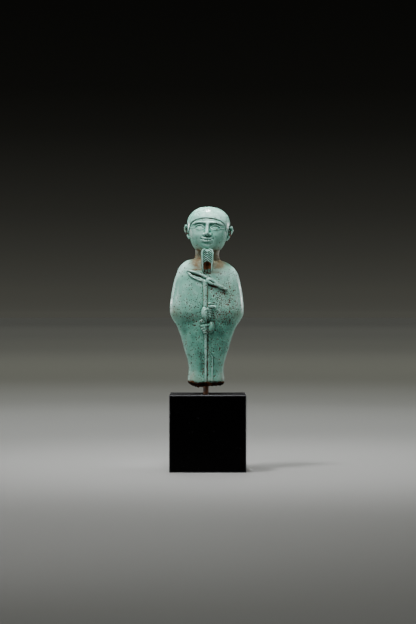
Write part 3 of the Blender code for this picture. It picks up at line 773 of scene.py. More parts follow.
# Fine lines on the front: points of x and height, width, and how far the line stands out
CUTS = (
    (((0.9, 61.8), (4.3, 59.2), (8.2, 56.2)), 0.28, -0.4),
    (((0.6, 56.8), (3.3, 56.1), (5.9, 55.4)), 0.5, -0.75),
    (((5.0, 55.6), (8.1, 54.0), (11.0, 53.4)), 0.3, -0.4),
    (((-2.1, 59.2), (1.1, 57.7), (4.3, 57.0), (7.5, 55.3), (10.6, 54.6)), 0.35, 0.22),
    (((-9.4, 62.2), (-6.5, 60.7), (-3.6, 59.55)), 0.22, -0.38),
    (((-9.0, 63.0), (-6.9, 62.2), (-2.1, 60.5)), 0.42, -0.5),
    (((-11.2, 64.9), (-6.6, 63.9), (0.0, 61.6)), 0.25, 0.15),
    (((0.9, 20.3), (3.3, 17.5)), 0.3, 0.22),
)

# The beast's sunken eye: x, height, half sizes, and how far it stands out
EYE_POCKET = (2.9, 58.5, 1.9, 0.65, -0.75)

# Single large pits on the front: x, height and radius
LARGE_PITS = (
    (-6.2, 44.9, 0.55),
    (-5.6, 36.6, 0.62),
    (3.9, 47.0, 0.6),
    (3.1, 36.8, 0.5),
    (7.4, 52.3, 0.45),
    (-8.8, 56.5, 0.4),
)

# Brown staining on the front: x, height, half width, half height, strength
STAINS = (
    (-4.8, 71.8, 4.0, 4.6, 1.9),
    (5.2, 71.8, 4.6, 4.6, 1.9),
    (19.0, 52.0, 4.5, 9.0, 0.07),
    (-13.0, 87.4, 1.2, 1.6, 0.7),
    (6.8, 67.4, 4.6, 2.6, 0.5),
    (-5.8, 68.0, 4.2, 2.6, 0.45),
    (-5.6, 64.9, 4.6, 0.6, 0.7),
    (3.9, 63.6, 3.4, 0.8, 0.7),
    (-6.2, 62.0, 3.6, 0.6, 0.9),
    (4.4, 56.0, 1.6, 0.5, 0.6),
    (-1.9, 50.5, 0.4, 7.0, 0.55),
    (0.3, 50.5, 0.4, 7.0, 0.75),
    (-17.5, 41.5, 3.4, 3.2, 0.6),
    (17.2, 40.5, 3.2, 2.8, 0.45),
    (11.0, 52.0, 6.0, 8.0, 0.22),
    (0.0, 4.2, 11.0, 1.6, 0.4),
    (-7.6, 6.5, 3.0, 3.4, 0.42),
    (8.8, 6.5, 2.0, 3.6, 0.4),
)

# Dark patches on the front, x, height, half width, half height, strength: painted shadow under
# the beard, under the beast's head and snout, under the upper thumb and between the fists; painted
# shade in the gap between the beast's ears; and darkening in the ear hollows and beside the shaft
DIRT_AND_SHADE = (
    (0.0, 63.9, 1.6, 1.2, 0.7),
    (-3.0, 63.4, 3.4, 0.4, 0.7),
    (3.6, 55.9, 2.6, 0.45, 1.2),
    (-5.6, 61.7, 3.0, 0.5, 1.0),
    (-11.8, 85.3, 0.9, 2.0, 1.7),
    (12.5, 85.2, 0.7, 1.9, 1.5),
    (0.9, 24.0, 0.6, 6.0, 0.7),
    (0.9, 11.0, 0.5, 8.0, 0.55),
    (0.9, 36.4, 0.35, 1.3, 1.2),
    (4.2, 43.0, 0.9, 0.7, 0.8),
    (-3.6, 56.6, 0.7, 0.7, 0.8),
)

# Where the pits gather on the front: x, height, half width, half height, strength
PITTED = (
    (7.5, 50.5, 7.0, 7.0, 0.95),
    (10.0, 42.5, 7.0, 5.0, 0.55),
    (6.0, 36.5, 6.5, 4.0, 0.55),
    (-9.0, 47.0, 7.0, 7.5, 0.4),
    (-8.0, 37.0, 6.0, 3.5, 0.35),
    (10.0, 60.0, 4.0, 4.0, 0.3),
    (0.0, 20.0, 12.0, 16.0, 0.4),
    (0.9, 18.0, 1.2, 14.0, 0.5),
    (-2.4, 10.0, 1.2, 7.0, 0.45),
)


def uneven(places, size, seed):
    """A smooth random field, mostly from -1 to 1, with features of about this size."""
    chance = np.random.default_rng(seed)
    directions = chance.normal(size=(3, 24))
    phases = chance.uniform(0.0, 2.0 * math.pi, 24)
    return np.sin(places @ directions * (2.5 / size) + phases).sum(axis=1) / 5.0


def patches(places, table):
    """How strongly each place on the front lies in the table's soft patches."""
    total = np.zeros(len(places))
    for x, height, half_width, half_height, strength in table:
        across = (places[:, 0] - x) / half_width
        upwards = (places[:, 2] - height) / half_height
        total += strength * np.exp(-(across**2) - upwards**2)
    return total * step(5.0 - places[:, 1], 0.0, 6.0)


def softened(obj, rounds):
    """Where the object's vertices would lie after so many rounds of smoothing."""
    soften(obj, rounds)
    mesh = worked_in(obj)
    places = places_of(mesh)
    bpy.data.meshes.remove(mesh)
    return places


def hollowness(obj, rounds):
    """How far each vertex lies below its softened surroundings, and above them if negative."""
    lift = softened(obj, rounds) - places_of(obj.data)
    return (lift * normals_of(obj.data)).sum(axis=1)


def glaze_end(x):
    """How high the glaze ends above the broken foot, by x."""
    return GLAZE_EDGE + 0.6 * break_height(x)


def broken(places):
    """Which places lie on the bare core: the broken foot, and the beard's lost lower front."""
    x, y, height = places.T
    ragged = 0.35 * uneven(places, 2.2, 11) + 0.15 * uneven(places, 0.8, 12)
    foot = step(glaze_end(x) + ragged - height, 0.0, 0.25)
    side = np.abs(x - BEARD_ASIDE)
    top = PLAIT_BOTTOM - 0.1 - 0.25 * side**2
    bottom = 65.2 + 0.8 * ragged + 0.25 * side
    ahead = step(-y, 9.0, 1.0) * step(2.1 - side, 0.0, 0.3)
    beard_core = ahead * step(height, bottom, 0.5) * step(top - height, 0.0, 0.3)
    return np.maximum(foot, beard_core)


def break_rim(places):
    """Where the bare core is rusty: just under the glaze's broken edge, and in the beard."""
    x, y, height = places.T
    foot = bump(height - glaze_end(x) + 0.1, 0.5)
    beard_sides = 0.25 + 0.75 * step(np.abs(x - BEARD_ASIDE), 0.9, 1.1)
    return np.maximum(foot, step(height, 60.0, 2.0) * step(-y, 9.0, 1.0) * beard_sides)


def search_tree(places):
    """A tree that finds which of these places lie near a point."""
    tree = KDTree(len(places))
    for index, place in enumerate(places):
        tree.insert(place, index)
    tree.balance()
    return tree


def pits_of(places, normals, count, seed):
    """Random pits on the skin: how deep each vertex sinks, in shares."""
    chance = np.random.default_rng(seed)
    weights = 0.04 + patches(places, PITTED)
    weights *= step_down(places[:, 2], 76.0, 8.0) * 0.93 + 0.07
    chosen = chance.choice(len(places), count, replace=False, p=weights / weights.sum())
    radii = np.minimum(PIT_RADIUS + PIT_SPREAD * chance.gamma(1.3, 1.0, count), PIT_LARGEST)
    tree = search_tree(places)
    sunk = np.zeros(len(places))
    for centre, radius in zip(chosen, radii):
        for _, index, distance in tree.find_range(places[centre], radius):
            depth = 0.5 * radius * (1.0 - (distance / radius) ** 2)
            sunk[index] = max(sunk[index], depth)
    for x, height, radius in LARGE_PITS:
        away = np.hypot(places[:, 0] - x, places[:, 2] - height) / (0.8 * radius)
        depth = 0.6 * radius * np.clip(1.0 - away**2, 0.0, 1.0) * (normals[:, 1] < -0.3)
        sunk = np.maximum(sunk, depth)
    return sunk


def line_at(x, line):
    """The height of a line of x and height at these x, and where the line runs, as a mask."""
    xs, heights = np.array(line).T
    runs = step(x, xs[0], 0.6) * step(xs[-1] - x, 0.0, 0.6)
    return np.interp(x, xs, heights), runs


def cap_line(places):
    """The fine groove under the cap's edge across the brow, from 0 to 1."""
    origin, axes = head_axes()
    x, y, height = ((places - origin) @ axes).T
    around, edge = cap_edge(x, y)
    return bump(height - edge + CAP_LINE_DROP, CAP_LINE_WIDTH) * step_down(around, 74.0, 14.0)


def strands(places):
    """The plait on the beard's front: 1 along its strands' ridges, -1 along the grooves."""
    x, y, height = places.T
    side = np.abs(x - BEARD_ASIDE)
    front = step(-y, 11.6, 0.6) * step(PLAIT_HALF - side, 0.0, 0.35)
    ends = step(height, PLAIT_BOTTOM, 0.4) * step(PLAIT_TOP - height, 0.0, 0.5)
    return front * ends * np.cos(2 * math.pi * (height + 0.75 * side) / PLAIT_PITCH)


def engrave(places, normals):
    """How far the fine carving on the front stands out, by place."""
    x, y, height = places.T
    out = np.zeros(len(places))
    for line, width, amount in CUTS:
        level, runs = line_at(x, line)
        out += amount * bump(height - level, width) * runs
    eye_x, eye_height, half_width, half_height, amount = EYE_POCKET
    eye_line = height - eye_height + 0.35 * (x - eye_x)
    out += amount * bump(x - eye_x, half_width) * bump(eye_line, half_height)
    below_hands = step(29.0 - height, 0.0, 2.0) * step(height, 2.5, 1.0)
    crumbled = -0.05 + 0.2 * uneven(places, 0.7, 51)
    out += below_hands * (0.12 * bump(x + 0.35, 0.3) - crumbled * bump(x - 0.8, 0.4))
    band = step(17.2 - height, 0.0, 0.6) * step(height, 2.5, 1.0)
    out += BAND_EDGE_HEIGHT * bump(x - 3.4, 0.26) * band
    out += STRAND_HEIGHT * strands(places)
    out *= step(-normals[:, 1], 0.3, 0.4) * step(-y, 4.0, 2.0)
    return out - CAP_LINE_DEPTH * cap_line(places)


def weather(skin, settings):
    """Works the fine relief, breaks and pits into the skin, and returns its masks."""
    places, normals = places_of(skin.data), normals_of(skin.data)
    places[:, 1] -= engrave(places, normals)
    move_to(skin.data, places)
    places, normals = places_of(skin.data), normals_of(skin.data)
    core = broken(places)
    rough = 0.2 * uneven(places, 0.9, 21) + 0.12 * uneven(places, 0.5, 22)
    wavy = WAVINESS * uneven(places, 6.0, 23) + 0.35 * WAVINESS * uneven(places, 2.0, 24)
    out = wavy + core * (rough - GLAZE_THICKNESS)
    sunk = pits_of(places, normals, settings.pits, 31) * (1.0 - core)
    move_to(skin.data, places + normals * (out - sunk)[:, None])
    near, wide = hollowness(skin, NEAR_ROUNDS), hollowness(skin, WIDE_ROUNDS)
    hollow = np.clip(near / 0.03, 0.0, 1.0) * 0.6 + np.clip(wide / 0.2, 0.0, 1.0) * 0.6
    edge = np.clip(-near / 0.03, 0.0, 1.0) * 0.6 + np.clip(-wide / 0.30, 0.0, 1.0) * 0.4
    depth = np.interp(places[:, 2], *np.array(GLAZE_DEPTH_AND_SHADE).T) + patches(places, GLAZE_AND_SHADE_PATCHES)
    depth += 0.06 * uneven(places, 9.0, 41) + 0.05 * uneven(places, 3.5, 42)
    depth -= 0.4 * strands(places)
    # Painted rim light: surfaces facing left or right are paler below the neck
    depth -= 0.3 * step(np.abs(normals[:, 0]), 0.86, 0.3) * step_down(places[:, 2], 70.0, 4.0)
    x, y, height = places.T
    # How strongly hollows darken with dirt and painted shade: less on the head, beside the shaft,
    # along the band's edge low on the legs and on the plait
    hollow_darkening = 1.0 - 0.75 * step(height, 78.5, 3.0) * step_down(np.abs(x), 11.5, 1.0)
    hollow_darkening -= 0.8 * step_down(height, 30.0, 2.0) * bump(x + 1.0, 0.7) * (y < 0.0)
    hollow_darkening -= 0.8 * step_down(height, 18.0, 1.0) * bump(x - 3.2, 0.9) * (y < 0.0)
    on_beard = step(height, 62.0, 1.0) * step(-y, 10.0, 2.0)
    hollow_darkening -= 0.25 * on_beard * step(height, PLAIT_BOTTOM, 1.0)
    return {
        # Glaze depth, with painted light on the shoulders and sides and painted shade below the
        # arms, on the legs and under parts
        "depth": np.clip(depth + 0.6 * hollow - 0.5 * edge, 0.0, 1.2),
        # Dirt and painted shade in hollows, under parts and in the groove under the cap's edge
        "dirty": hollow * hollow_darkening + patches(places, DIRT_AND_SHADE) + 0.9 * cap_line(places),
        "hollow": hollow,
        "core": core,
        "rusty": break_rim(places),
        "stain": np.clip(patches(places, STAINS), 0.0, 1.0) * (1.0 - on_beard),
        "pitted": np.clip(patches(places, PITTED), 0.0, 1.0),
        "pits": np.clip(sunk / 0.08, 0.0, 1.0),
    }


def carry_over(places, masks, mesh):
    """Gives a thinned mesh the masks of the nearest vertices of the mesh it came from."""
    tree = search_tree(places)
    nearest = np.array([tree.find(place)[1] for place in places_of(mesh)])
    for name, values in masks.items():
        layer = mesh.attributes.new(name, "FLOAT", "POINT")
        layer.data.foreach_set("value", values[nearest].astype(np.float32))


def rod_bore(skin, bottom, top):
    """Cuts the rod's blind hole into the figure's foot."""
    bm = bmesh.new()
    radius = ROD_RADIUS + ROD_CLEARANCE
    bmesh.ops.create_cone(
        bm, cap_ends=True, segments=48, radius1=radius, radius2=radius, depth=top - bottom
    )
    bmesh.ops.translate(bm, vec=(ROD_MIDDLE, 0.0, (top + bottom) / 2), verts=bm.verts)
    cutter = new_object("rod_cutter", bm)
    bore = skin.modifiers.new("Bore", "BOOLEAN")
    bore.operation = "DIFFERENCE"
    bore.solver = "EXACT"
    bore.object = cutter
    keep_modifiers(skin)
    bpy.data.objects.remove(cutter)


def glazed_figure(settings):
    """The figurine with its fine relief, in place over its solid."""
    skin = figure_skin(settings.grid)
    masks = weather(skin, settings)
    bottom = BLOCK_HIGH.z + FIGURE_LIFT
    place = (
        Matrix.Translation((ROD_MIDDLE, 0.0, bottom))
        @ Matrix.Rotation(math.radians(FIGURE_LEAN), 4, "Y")
        @ Matrix.Scale(FIGURE_HEIGHT / 100.0, 4)
    )
    skin.data.transform(place)
    places = places_of(skin.data)
    top = CAD_BOUNDS[1].z - bottom
    places[:, 2] = bottom + (places[:, 2] - bottom) * min(1.0, top / (places[:, 2].max() - bottom))
    move_to(skin.data, places)
    thin = skin.modifiers.new("Fewer faces", "DECIMATE")
    thin.ratio = min(1.0, settings.triangles / (2 * len(skin.data.polygons)))
    keep_modifiers(skin)
    rod_bore(skin, bottom - 0.01, ROD_HIGH.z + ROD_CLEARANCE)
    carry_over(places, masks, skin.data)
    skin.data.shade_smooth()
    return skin


def add(tree, kind, inputs, **settings):
    """A node with these settings. Each input takes a value, or another node's output."""
    node = tree.nodes.new(kind)
    for name, value in settings.items():
        setattr(node, name, value)
    for name, value in inputs.items():
        if isinstance(value, bpy.types.NodeSocket):
            tree.links.new(value, node.inputs[name])
        else:
            node.inputs[name].default_value = value
    return node


def math_of(tree, operation, first, second=0.0, third=0.0):
    """The result of a sum of two or three values."""
    values = {0: first, 1: second, 2: third}
    return add(tree, "ShaderNodeMath", values, operation=operation).outputs[0]


def scaled(tree, value, factor, plus=0.0):
    """A value times a factor, with something added."""
    return math_of(tree, "MULTIPLY_ADD", value, factor, plus)


def largest(tree, first, *others):
    """The largest of these values."""
    for value in others:
        first = math_of(tree, "MAXIMUM", first, value)
    return first


def rise(tree, value, low, high):
    """0 up to low and 1 from high on, with a smooth rise between."""
    inputs = {"Value": value, "From Min": low, "From Max": high}
    node = add(tree, "ShaderNodeMapRange", inputs, interpolation_type="SMOOTHSTEP")
    return node.outputs["Result"]


def opaque(colour):
    """A colour with full alpha. A node's output is left as it is."""
    return colour if isinstance(colour, bpy.types.NodeSocket) else (*colour[:3], 1.0)


def mixed(tree, share, first, second):
    """The first colour turned into the second by the share."""
    inputs = {0: share, 6: opaque(first), 7: opaque(second)}
    return add(tree, "ShaderNodeMix", inputs, data_type="RGBA").outputs[2]


def noise_of(tree, vector, scale, **inputs):
    """A noise of this scale, mostly from 0.3 to 0.7."""
    inputs = {"Vector": vector, "Scale": scale, **inputs}
    return add(tree, "ShaderNodeTexNoise", inputs).outputs["Fac"]


def clouds(tree, at, scale, low, high):
    """Soft mottling from 0 to 1."""
    return rise(tree, noise_of(tree, at, scale, Detail=5.0, Roughness=0.6), low, high)


def specks(tree, at, scale, share, size):
    """Small ragged dots, in a share of the cells that they are scattered over."""
    inputs = {"Vector": at, "Scale": scale, "Randomness": 1.0}
    cells = add(tree, "ShaderNodeTexVoronoi", inputs).outputs
    chance = add(tree, "ShaderNodeSeparateColor", {"Color": cells["Color"]}).outputs
    ragged = math_of(tree, "SUBTRACT", noise_of(tree, at, scaled(tree, scale, 2.5)), 0.5)
    reach = math_of(tree, "SUBTRACT", scaled(tree, size, chance["Green"]), cells["Distance"])
    dots = rise(tree, scaled(tree, ragged, 0.7, reach), -0.02, 0.12)
    return scaled(tree, math_of(tree, "LESS_THAN", chance["Red"], share), dots)


def grain(tree, at, scale, fine):
    """A fine uneven height, of two sizes."""
    broad = noise_of(tree, at, scale, Detail=3.0)
    return scaled(tree, noise_of(tree, at, scaled(tree, scale, 3.7), Detail=2.0), fine, broad)


# What each effect takes beside its coordinates
EFFECT_INPUTS = {
    "Clouds": ("Scale", "Low", "High"),
    "Specks": ("Scale", "Share", "Size"),
    "Grain": ("Scale", "Fine"),
}


def group_of(build):
    """The node group of an effect, built when it is first asked for."""
    name = build.__name__.capitalize()
    if name in bpy.data.node_groups:
        return bpy.data.node_groups[name]
    tree = bpy.data.node_groups.new(name, "ShaderNodeTree")
    tree.interface.new_socket("Vector", in_out="INPUT", socket_type="NodeSocketVector")
    for label in EFFECT_INPUTS[name]:
        tree.interface.new_socket(label, in_out="INPUT", socket_type="NodeSocketFloat")
    tree.interface.new_socket("Result", in_out="OUTPUT", socket_type="NodeSocketFloat")
    given = [socket for socket in tree.nodes.new("NodeGroupInput").outputs if socket.name]
    result = tree.nodes.new("NodeGroupOutput").inputs["Result"]
    tree.links.new(build(tree, *given), result)
    return tree


def placed(tree, build, vector, **values):
    """An effect's node in this material, with its own values, and its output."""
    inputs = {"Vector": vector, **values}
    return add(tree, "ShaderNodeGroup", inputs, node_tree=group_of(build)).outputs[0]


# How deep the fine grain of each surface is, in metres
GLAZE_GRAIN = 0.00006
PAINT_GRAIN = 0.00003
LACQUER_GRAIN = 0.00002
FLOOR_GRAIN = 0.00001

# In from the block's edges and down from its top, in metres: where the worn edges with their
# painted highlight, and the dust on top with its painted sheen, have faded out, and where they are
# full
EDGE_WEAR_AND_HIGHLIGHT_NONE, EDGE_WEAR_AND_HIGHLIGHT_FULL = 0.0005, 0.00015
TOP_DUST_AND_SHEEN_NONE, TOP_DUST_AND_SHEEN_FULL = 0.0004, 0.0001


def new_material(name):
    """A material with nodes: its tree, its shader and the object's own coordinates."""
    material = bpy.data.materials.new(name)
    material.use_nodes = True
    tree = material.node_tree
    shader = tree.nodes["Principled BSDF"]
    coordinates = tree.nodes.new("ShaderNodeTexCoord").outputs["Object"]
    return material, tree, shader, coordinates


def ramp_of(tree, value, marks):
    """A colour that changes with a value, through these marks of place and colour."""
    ramp = add(tree, "ShaderNodeValToRGB", {"Fac": value})
    elements = ramp.color_ramp.elements
    elements.remove(elements[1])
    for number, (place, colour) in enumerate(marks):
        mark = elements.new(place) if number else elements[0]
        mark.position = place
        mark.color = opaque(colour)
    return ramp.outputs["Color"]


def mask(tree, name):
    """A mask that the mesh carries at its vertices."""
    return add(tree, "ShaderNodeAttribute", {}, attribute_name=name).outputs["Fac"]


def finish_surface(tree, shader, colour, roughness, height, depth):
    """Joins a colour, a roughness and a height to the shader."""
    tree.links.new(colour, shader.inputs["Base Color"])
    tree.links.new(roughness, shader.inputs["Roughness"])
    bumps = add(tree, "ShaderNodeBump", {"Height": height, "Distance": depth, "Strength": 1.0})
    tree.links.new(bumps.outputs["Normal"], shader.inputs["Normal"])


def faience(glaze):
    """Turquoise glaze, paler where thin and deeper where pooled, with painted shade in hollows,
    under parts and below the arms and painted light on the shoulders and sides; stained, pitted
    and broken.
    """
    material, tree, shader, at = new_material("faience_glaze")
    broad = placed(tree, clouds, at, Scale=75.0, Low=0.36, High=0.64)
    middle = placed(tree, clouds, at, Scale=260.0, Low=0.4, High=0.68)
    fine = placed(tree, clouds, at, Scale=900.0, Low=0.38, High=0.66)

    # The depth mask holds the glaze's thickness and also painted light and shade
    depth = scaled(tree, broad, 0.14, mask(tree, "depth"))
    depth = scaled(tree, middle, -0.18, depth)
    depth = scaled(tree, fine, 0.14, depth)
    tones = [(place, getattr(glaze, tone)) for place, tone in GLAZE_TONES]
    colour = ramp_of(tree, depth, tones)

    stain = math_of(tree, "MULTIPLY", mask(tree, "stain"), scaled(tree, middle, 0.45, 0.55))
    colour = mixed(tree, rise(tree, stain, -0.1, 0.85), colour, glaze.stain)
    # Dirt, and painted shade in hollows and under parts, in one dark colour
    dirt = math_of(tree, "MULTIPLY", mask(tree, "dirty"), math_of(tree, "ADD", fine, 0.6))
    dirt_and_shade_colour = mixed(tree, middle, glaze.dirt, glaze.pit)
    colour = mixed(tree, rise(tree, dirt, 0.5, 1.1), colour, dirt_and_shade_colour)

    share = scaled(tree, mask(tree, "pitted"), 0.7, 0.07)
    small = placed(tree, specks, at, Scale=1700.0, Share=share, Size=0.62)
    big = placed(tree, specks, at, Scale=1000.0, Share=scaled(tree, share, 0.7), Size=0.5)
    dots = largest(tree, small, big)
    marks = largest(tree, dots, rise(tree, mask(tree, "pits"), 0.25, 1.0))
    pit_colour = mixed(tree, broad, glaze.pit, glaze.dirt)
    colour = mixed(tree, scaled(tree, marks, 0.95), colour, pit_colour)

    core = mask(tree, "core")
    rusty = scaled(tree, math_of(tree, "MULTIPLY", middle, rise(tree, broad, 0.2, 0.8)), 0.5)
    rim = math_of(tree, "MULTIPLY", mask(tree, "rusty"), math_of(tree, "ADD", middle, 0.25))
    bare = mixed(tree, largest(tree, rusty, rim), glaze.core, glaze.rust)
    colour = mixed(tree, core, colour, bare)

    worn = (scaled(tree, core, 1.6), mask(tree, "hollow"), scaled(tree, stain, 1.2), dots)
    dull = math_of(tree, "MINIMUM", largest(tree, *worn), 1.0)
    roughness = scaled(tree, dull, 0.4, scaled(tree, fine, 0.12, glaze.roughness))
    height = placed(tree, grain, at, Scale=420.0, Fine=0.3)
    finish_surface(tree, shader, colour, roughness, scaled(tree, dots, -1.2, height), GLAZE_GRAIN)
    tree.links.new(scaled(tree, dull, -0.5, 0.5), shader.inputs["Specular IOR Level"])
    return material


def rod_paint(mount):
    """Brown paint over steel, rubbed and a little rusty."""
    material, tree, shader, at = new_material("rod_paint")
    patchy = placed(tree, clouds, at, Scale=500.0, Low=0.4, High=0.62)
    dots = placed(tree, specks, at, Scale=1500.0, Share=0.3, Size=0.4)
    colour = mixed(tree, patchy, mount.rod_paint, mount.rod_rust)
    colour = mixed(tree, scaled(tree, dots, 0.6), colour, mount.rod_paint)
    height = placed(tree, grain, at, Scale=1800.0, Fine=0.5)
    finish_surface(tree, shader, colour, scaled(tree, patchy, 0.25, 0.35), height, PAINT_GRAIN)
    return material


def block_lacquer(mount):
    """Black lacquer with rubbed edges that also carry a painted highlight, a soft sheen, and dust
    on top that also paints a sheen.
    """
    material, tree, shader, at = new_material("block_lacquer_black")
    wide = placed(tree, clouds, at, Scale=60.0, Low=0.35, High=0.7)
    dust = placed(tree, specks, at, Scale=1200.0, Share=0.05, Size=0.3)
    parts = add(tree, "ShaderNodeSeparateXYZ", {"Vector": at}).outputs
    half_width, top = BLOCK_HIGH.x, BLOCK_HIGH.z
    across, deep = (
        math_of(tree, "SUBTRACT", half_width, math_of(tree, "ABSOLUTE", parts[axis]))
        for axis in ("X", "Y")
    )
    up = math_of(tree, "SUBTRACT", top / 2, parts["Z"])
    up = math_of(tree, "SUBTRACT", top / 2, math_of(tree, "ABSOLUTE", up))
    nearest = math_of(tree, "ADD", math_of(tree, "ADD", across, deep), up)
    from_edge = math_of(tree, "SUBTRACT", nearest, largest(tree, across, deep, up))
    # Worn edges, lightened also as a painted highlight along them
    worn = rise(tree, from_edge, EDGE_WEAR_AND_HIGHLIGHT_NONE, EDGE_WEAR_AND_HIGHLIGHT_FULL)
    # Dust on top, lightened also as a painted sheen
    dust_and_sheen_on_top = rise(tree, parts["Z"], top - TOP_DUST_AND_SHEEN_NONE, top - TOP_DUST_AND_SHEEN_FULL)
    colour = mount.lacquer
    for share, strength in ((dust_and_sheen_on_top, 0.2), (worn, 0.85), (dust, 0.18)):
        colour = mixed(tree, scaled(tree, share, strength), colour, mount.rubbed)
    height = placed(tree, grain, at, Scale=260.0, Fine=0.2)
    finish_surface(tree, shader, colour, scaled(tree, wide, 0.12, 0.16), height, LACQUER_GRAIN)
    shader.inputs["Specular IOR Level"].default_value = 0.05
    return material


def floor_paint(stage):
    """A plain pale floor."""
    material, tree, shader, at = new_material("stage_floor")
    wide = placed(tree, clouds, at, Scale=6.0, Low=0.3, High=0.7)
    colour = mixed(tree, scaled(tree, wide, 0.04), stage.floor, (0.5, 0.5, 0.5))
    height = placed(tree, grain, at, Scale=900.0, Fine=0.2)
    finish_surface(tree, shader, colour, scaled(tree, wide, 0.05, 0.6), height, FLOOR_GRAIN)
    shader.inputs["Specular IOR Level"].default_value = 0.2
    return material


def lamp(name, kind, place, target, power, **settings):
    """A lamp of this kind with these settings, aimed at a point."""
    light = bpy.data.lights.new(name, kind)
    light.energy = power
    for setting, value in settings.items():
        setattr(light, setting, value)
    obj = bpy.data.objects.new(name, light)
    bpy.context.scene.collection.objects.link(obj)
    obj.location = place
    direction = Vector(target) - obj.location
    obj.rotation_euler = direction.to_track_quat("-Z", "Y").to_euler()


# How far the camera stands to the right of the block's middle, in metres
CAMERA_ASIDE = 0.00014

# Colours of light
WHITE = (1.0, 1.0, 1.0)
COOL = (0.96, 0.99, 0.98)
WARM = (0.98, 1.0, 0.8)

# Round lamps: name, place, the point each is aimed at, cone, radius, watts and colour
POOLS = (
    ("key", (-0.40, -0.35, 1.15), (0.0, 0.0, 0.08), 25.0, 0.1, 34.0, WHITE),
    ("near_left", (-0.30, -0.45, 0.50), (-0.13, -0.38, 0.0), 42.0, 0.05, 1.4, WHITE),
    ("behind", (-0.05, 0.60, 1.5), (-0.05, 0.60, 0.0), 70.0, 0.1, 22.0, COOL),
    ("behind_near", (-0.03, 0.40, 1.5), (-0.03, 0.40, 0.0), 40.0, 0.1, 22.0, COOL),
    ("far_floor", (0.0, 1.8, 2.5), (0.0, 1.8, 0.0), 90.0, 0.1, 29.0, WARM),
    ("farther_floor", (0.0, 3.5, 3.5), (0.0, 3.5, 0.0), 100.0, 0.1, 30.0, WARM),
    ("farthest_floor", (0.0, 8.0, 5.0), (0.0, 8.0, 0.0), 110.0, 0.1, 42.0, WARM),
    ("crown", (-0.02, 0.03, 0.75), (0.0, 0.0, 0.12), 3.3, 0.01, 46.0, WHITE),
    ("crown_front", (0.06, -0.30, 0.75), (0.0, 0.0, 0.110), 6.0, 0.03, 12.0, WHITE),
    ("left_side", (-0.7, -0.1, 0.2), (0.0, 0.0, 0.1), 10.0, 0.03, 4.6, WHITE),
    ("left_low", (-0.55, -0.30, 0.035), (0.0, 0.0, 0.044), 4.4, 0.02, 1.6, WHITE),
    ("right_side", (0.7, -0.15, 0.2), (0.0, 0.0, 0.085), 10.0, 0.03, 2.9, WHITE),
    ("left_rim", (-0.6, 0.5, 0.16), (0.0, 0.0, 0.108), 9.0, 0.03, 7.5, WHITE),
    ("right_rim", (0.6, 0.5, 0.16), (0.0, 0.0, 0.108), 9.0, 0.03, 10.0, WHITE),
)

# Soft rectangular lamps: name, place, the point aimed at, width, height, spread and watts
SOFTBOXES = (
    ("overhead", (-0.03, 0.02, 0.42), (-0.03, 0.0201, 0.0), 0.25, 0.2, 180.0, 0.5),
    ("front_top", (-0.05, -0.30, 0.60), (0.0, 0.0, 0.1), 0.4, 0.3, 120.0, 0.55),
)

# The light from all over the sky: how wide it comes from, its strength and its colour
SKY_ANGLE = 120.0
SKY_POWER = 0.52
SKY_COLOUR = (0.98, 1.0, 0.9)

# The background's grey by the sine of its height above the horizon, and its share of blue
SKY = (
    (0.0, 0.069),
    (0.011, 0.0535),
    (0.03, 0.0355),
    (0.049, 0.0225),
    (0.068, 0.0148),
    (0.087, 0.0085),
    (0.107, 0.0054),
    (0.145, 0.0038),
    (1.0, 0.0030),
)
SKY_BLUE = 0.84


def background():
    """A dark backdrop that fades to grey at the horizon."""
    world = bpy.data.worlds.new("backdrop")
    bpy.context.scene.world = world
    world.use_nodes = True
    tree = world.node_tree
    direction = tree.nodes.new("ShaderNodeTexCoord").outputs["Generated"]
    up = add(tree, "ShaderNodeSeparateXYZ", {"Vector": direction}).outputs["Z"]
    stretched = math_of(tree, "POWER", math_of(tree, "MAXIMUM", up, 0.0), 0.5)
    marks = [(math.sqrt(height), (grey, grey, SKY_BLUE * grey)) for height, grey in SKY]
    tree.links.new(ramp_of(tree, stretched, marks), tree.nodes["Background"].inputs["Color"])


def colour_setting(name, about, default):
    """A colour among the settings."""
    return FloatVectorProperty(
        name=name, description=about, subtype="COLOR", size=3, min=0.0, max=1.0, default=default
    )


def length_setting(name, about, least, default):
    """A length in metres among the settings."""
    return FloatProperty(
        name=name, description=about, subtype="DISTANCE", unit="LENGTH", min=least, default=default
    )


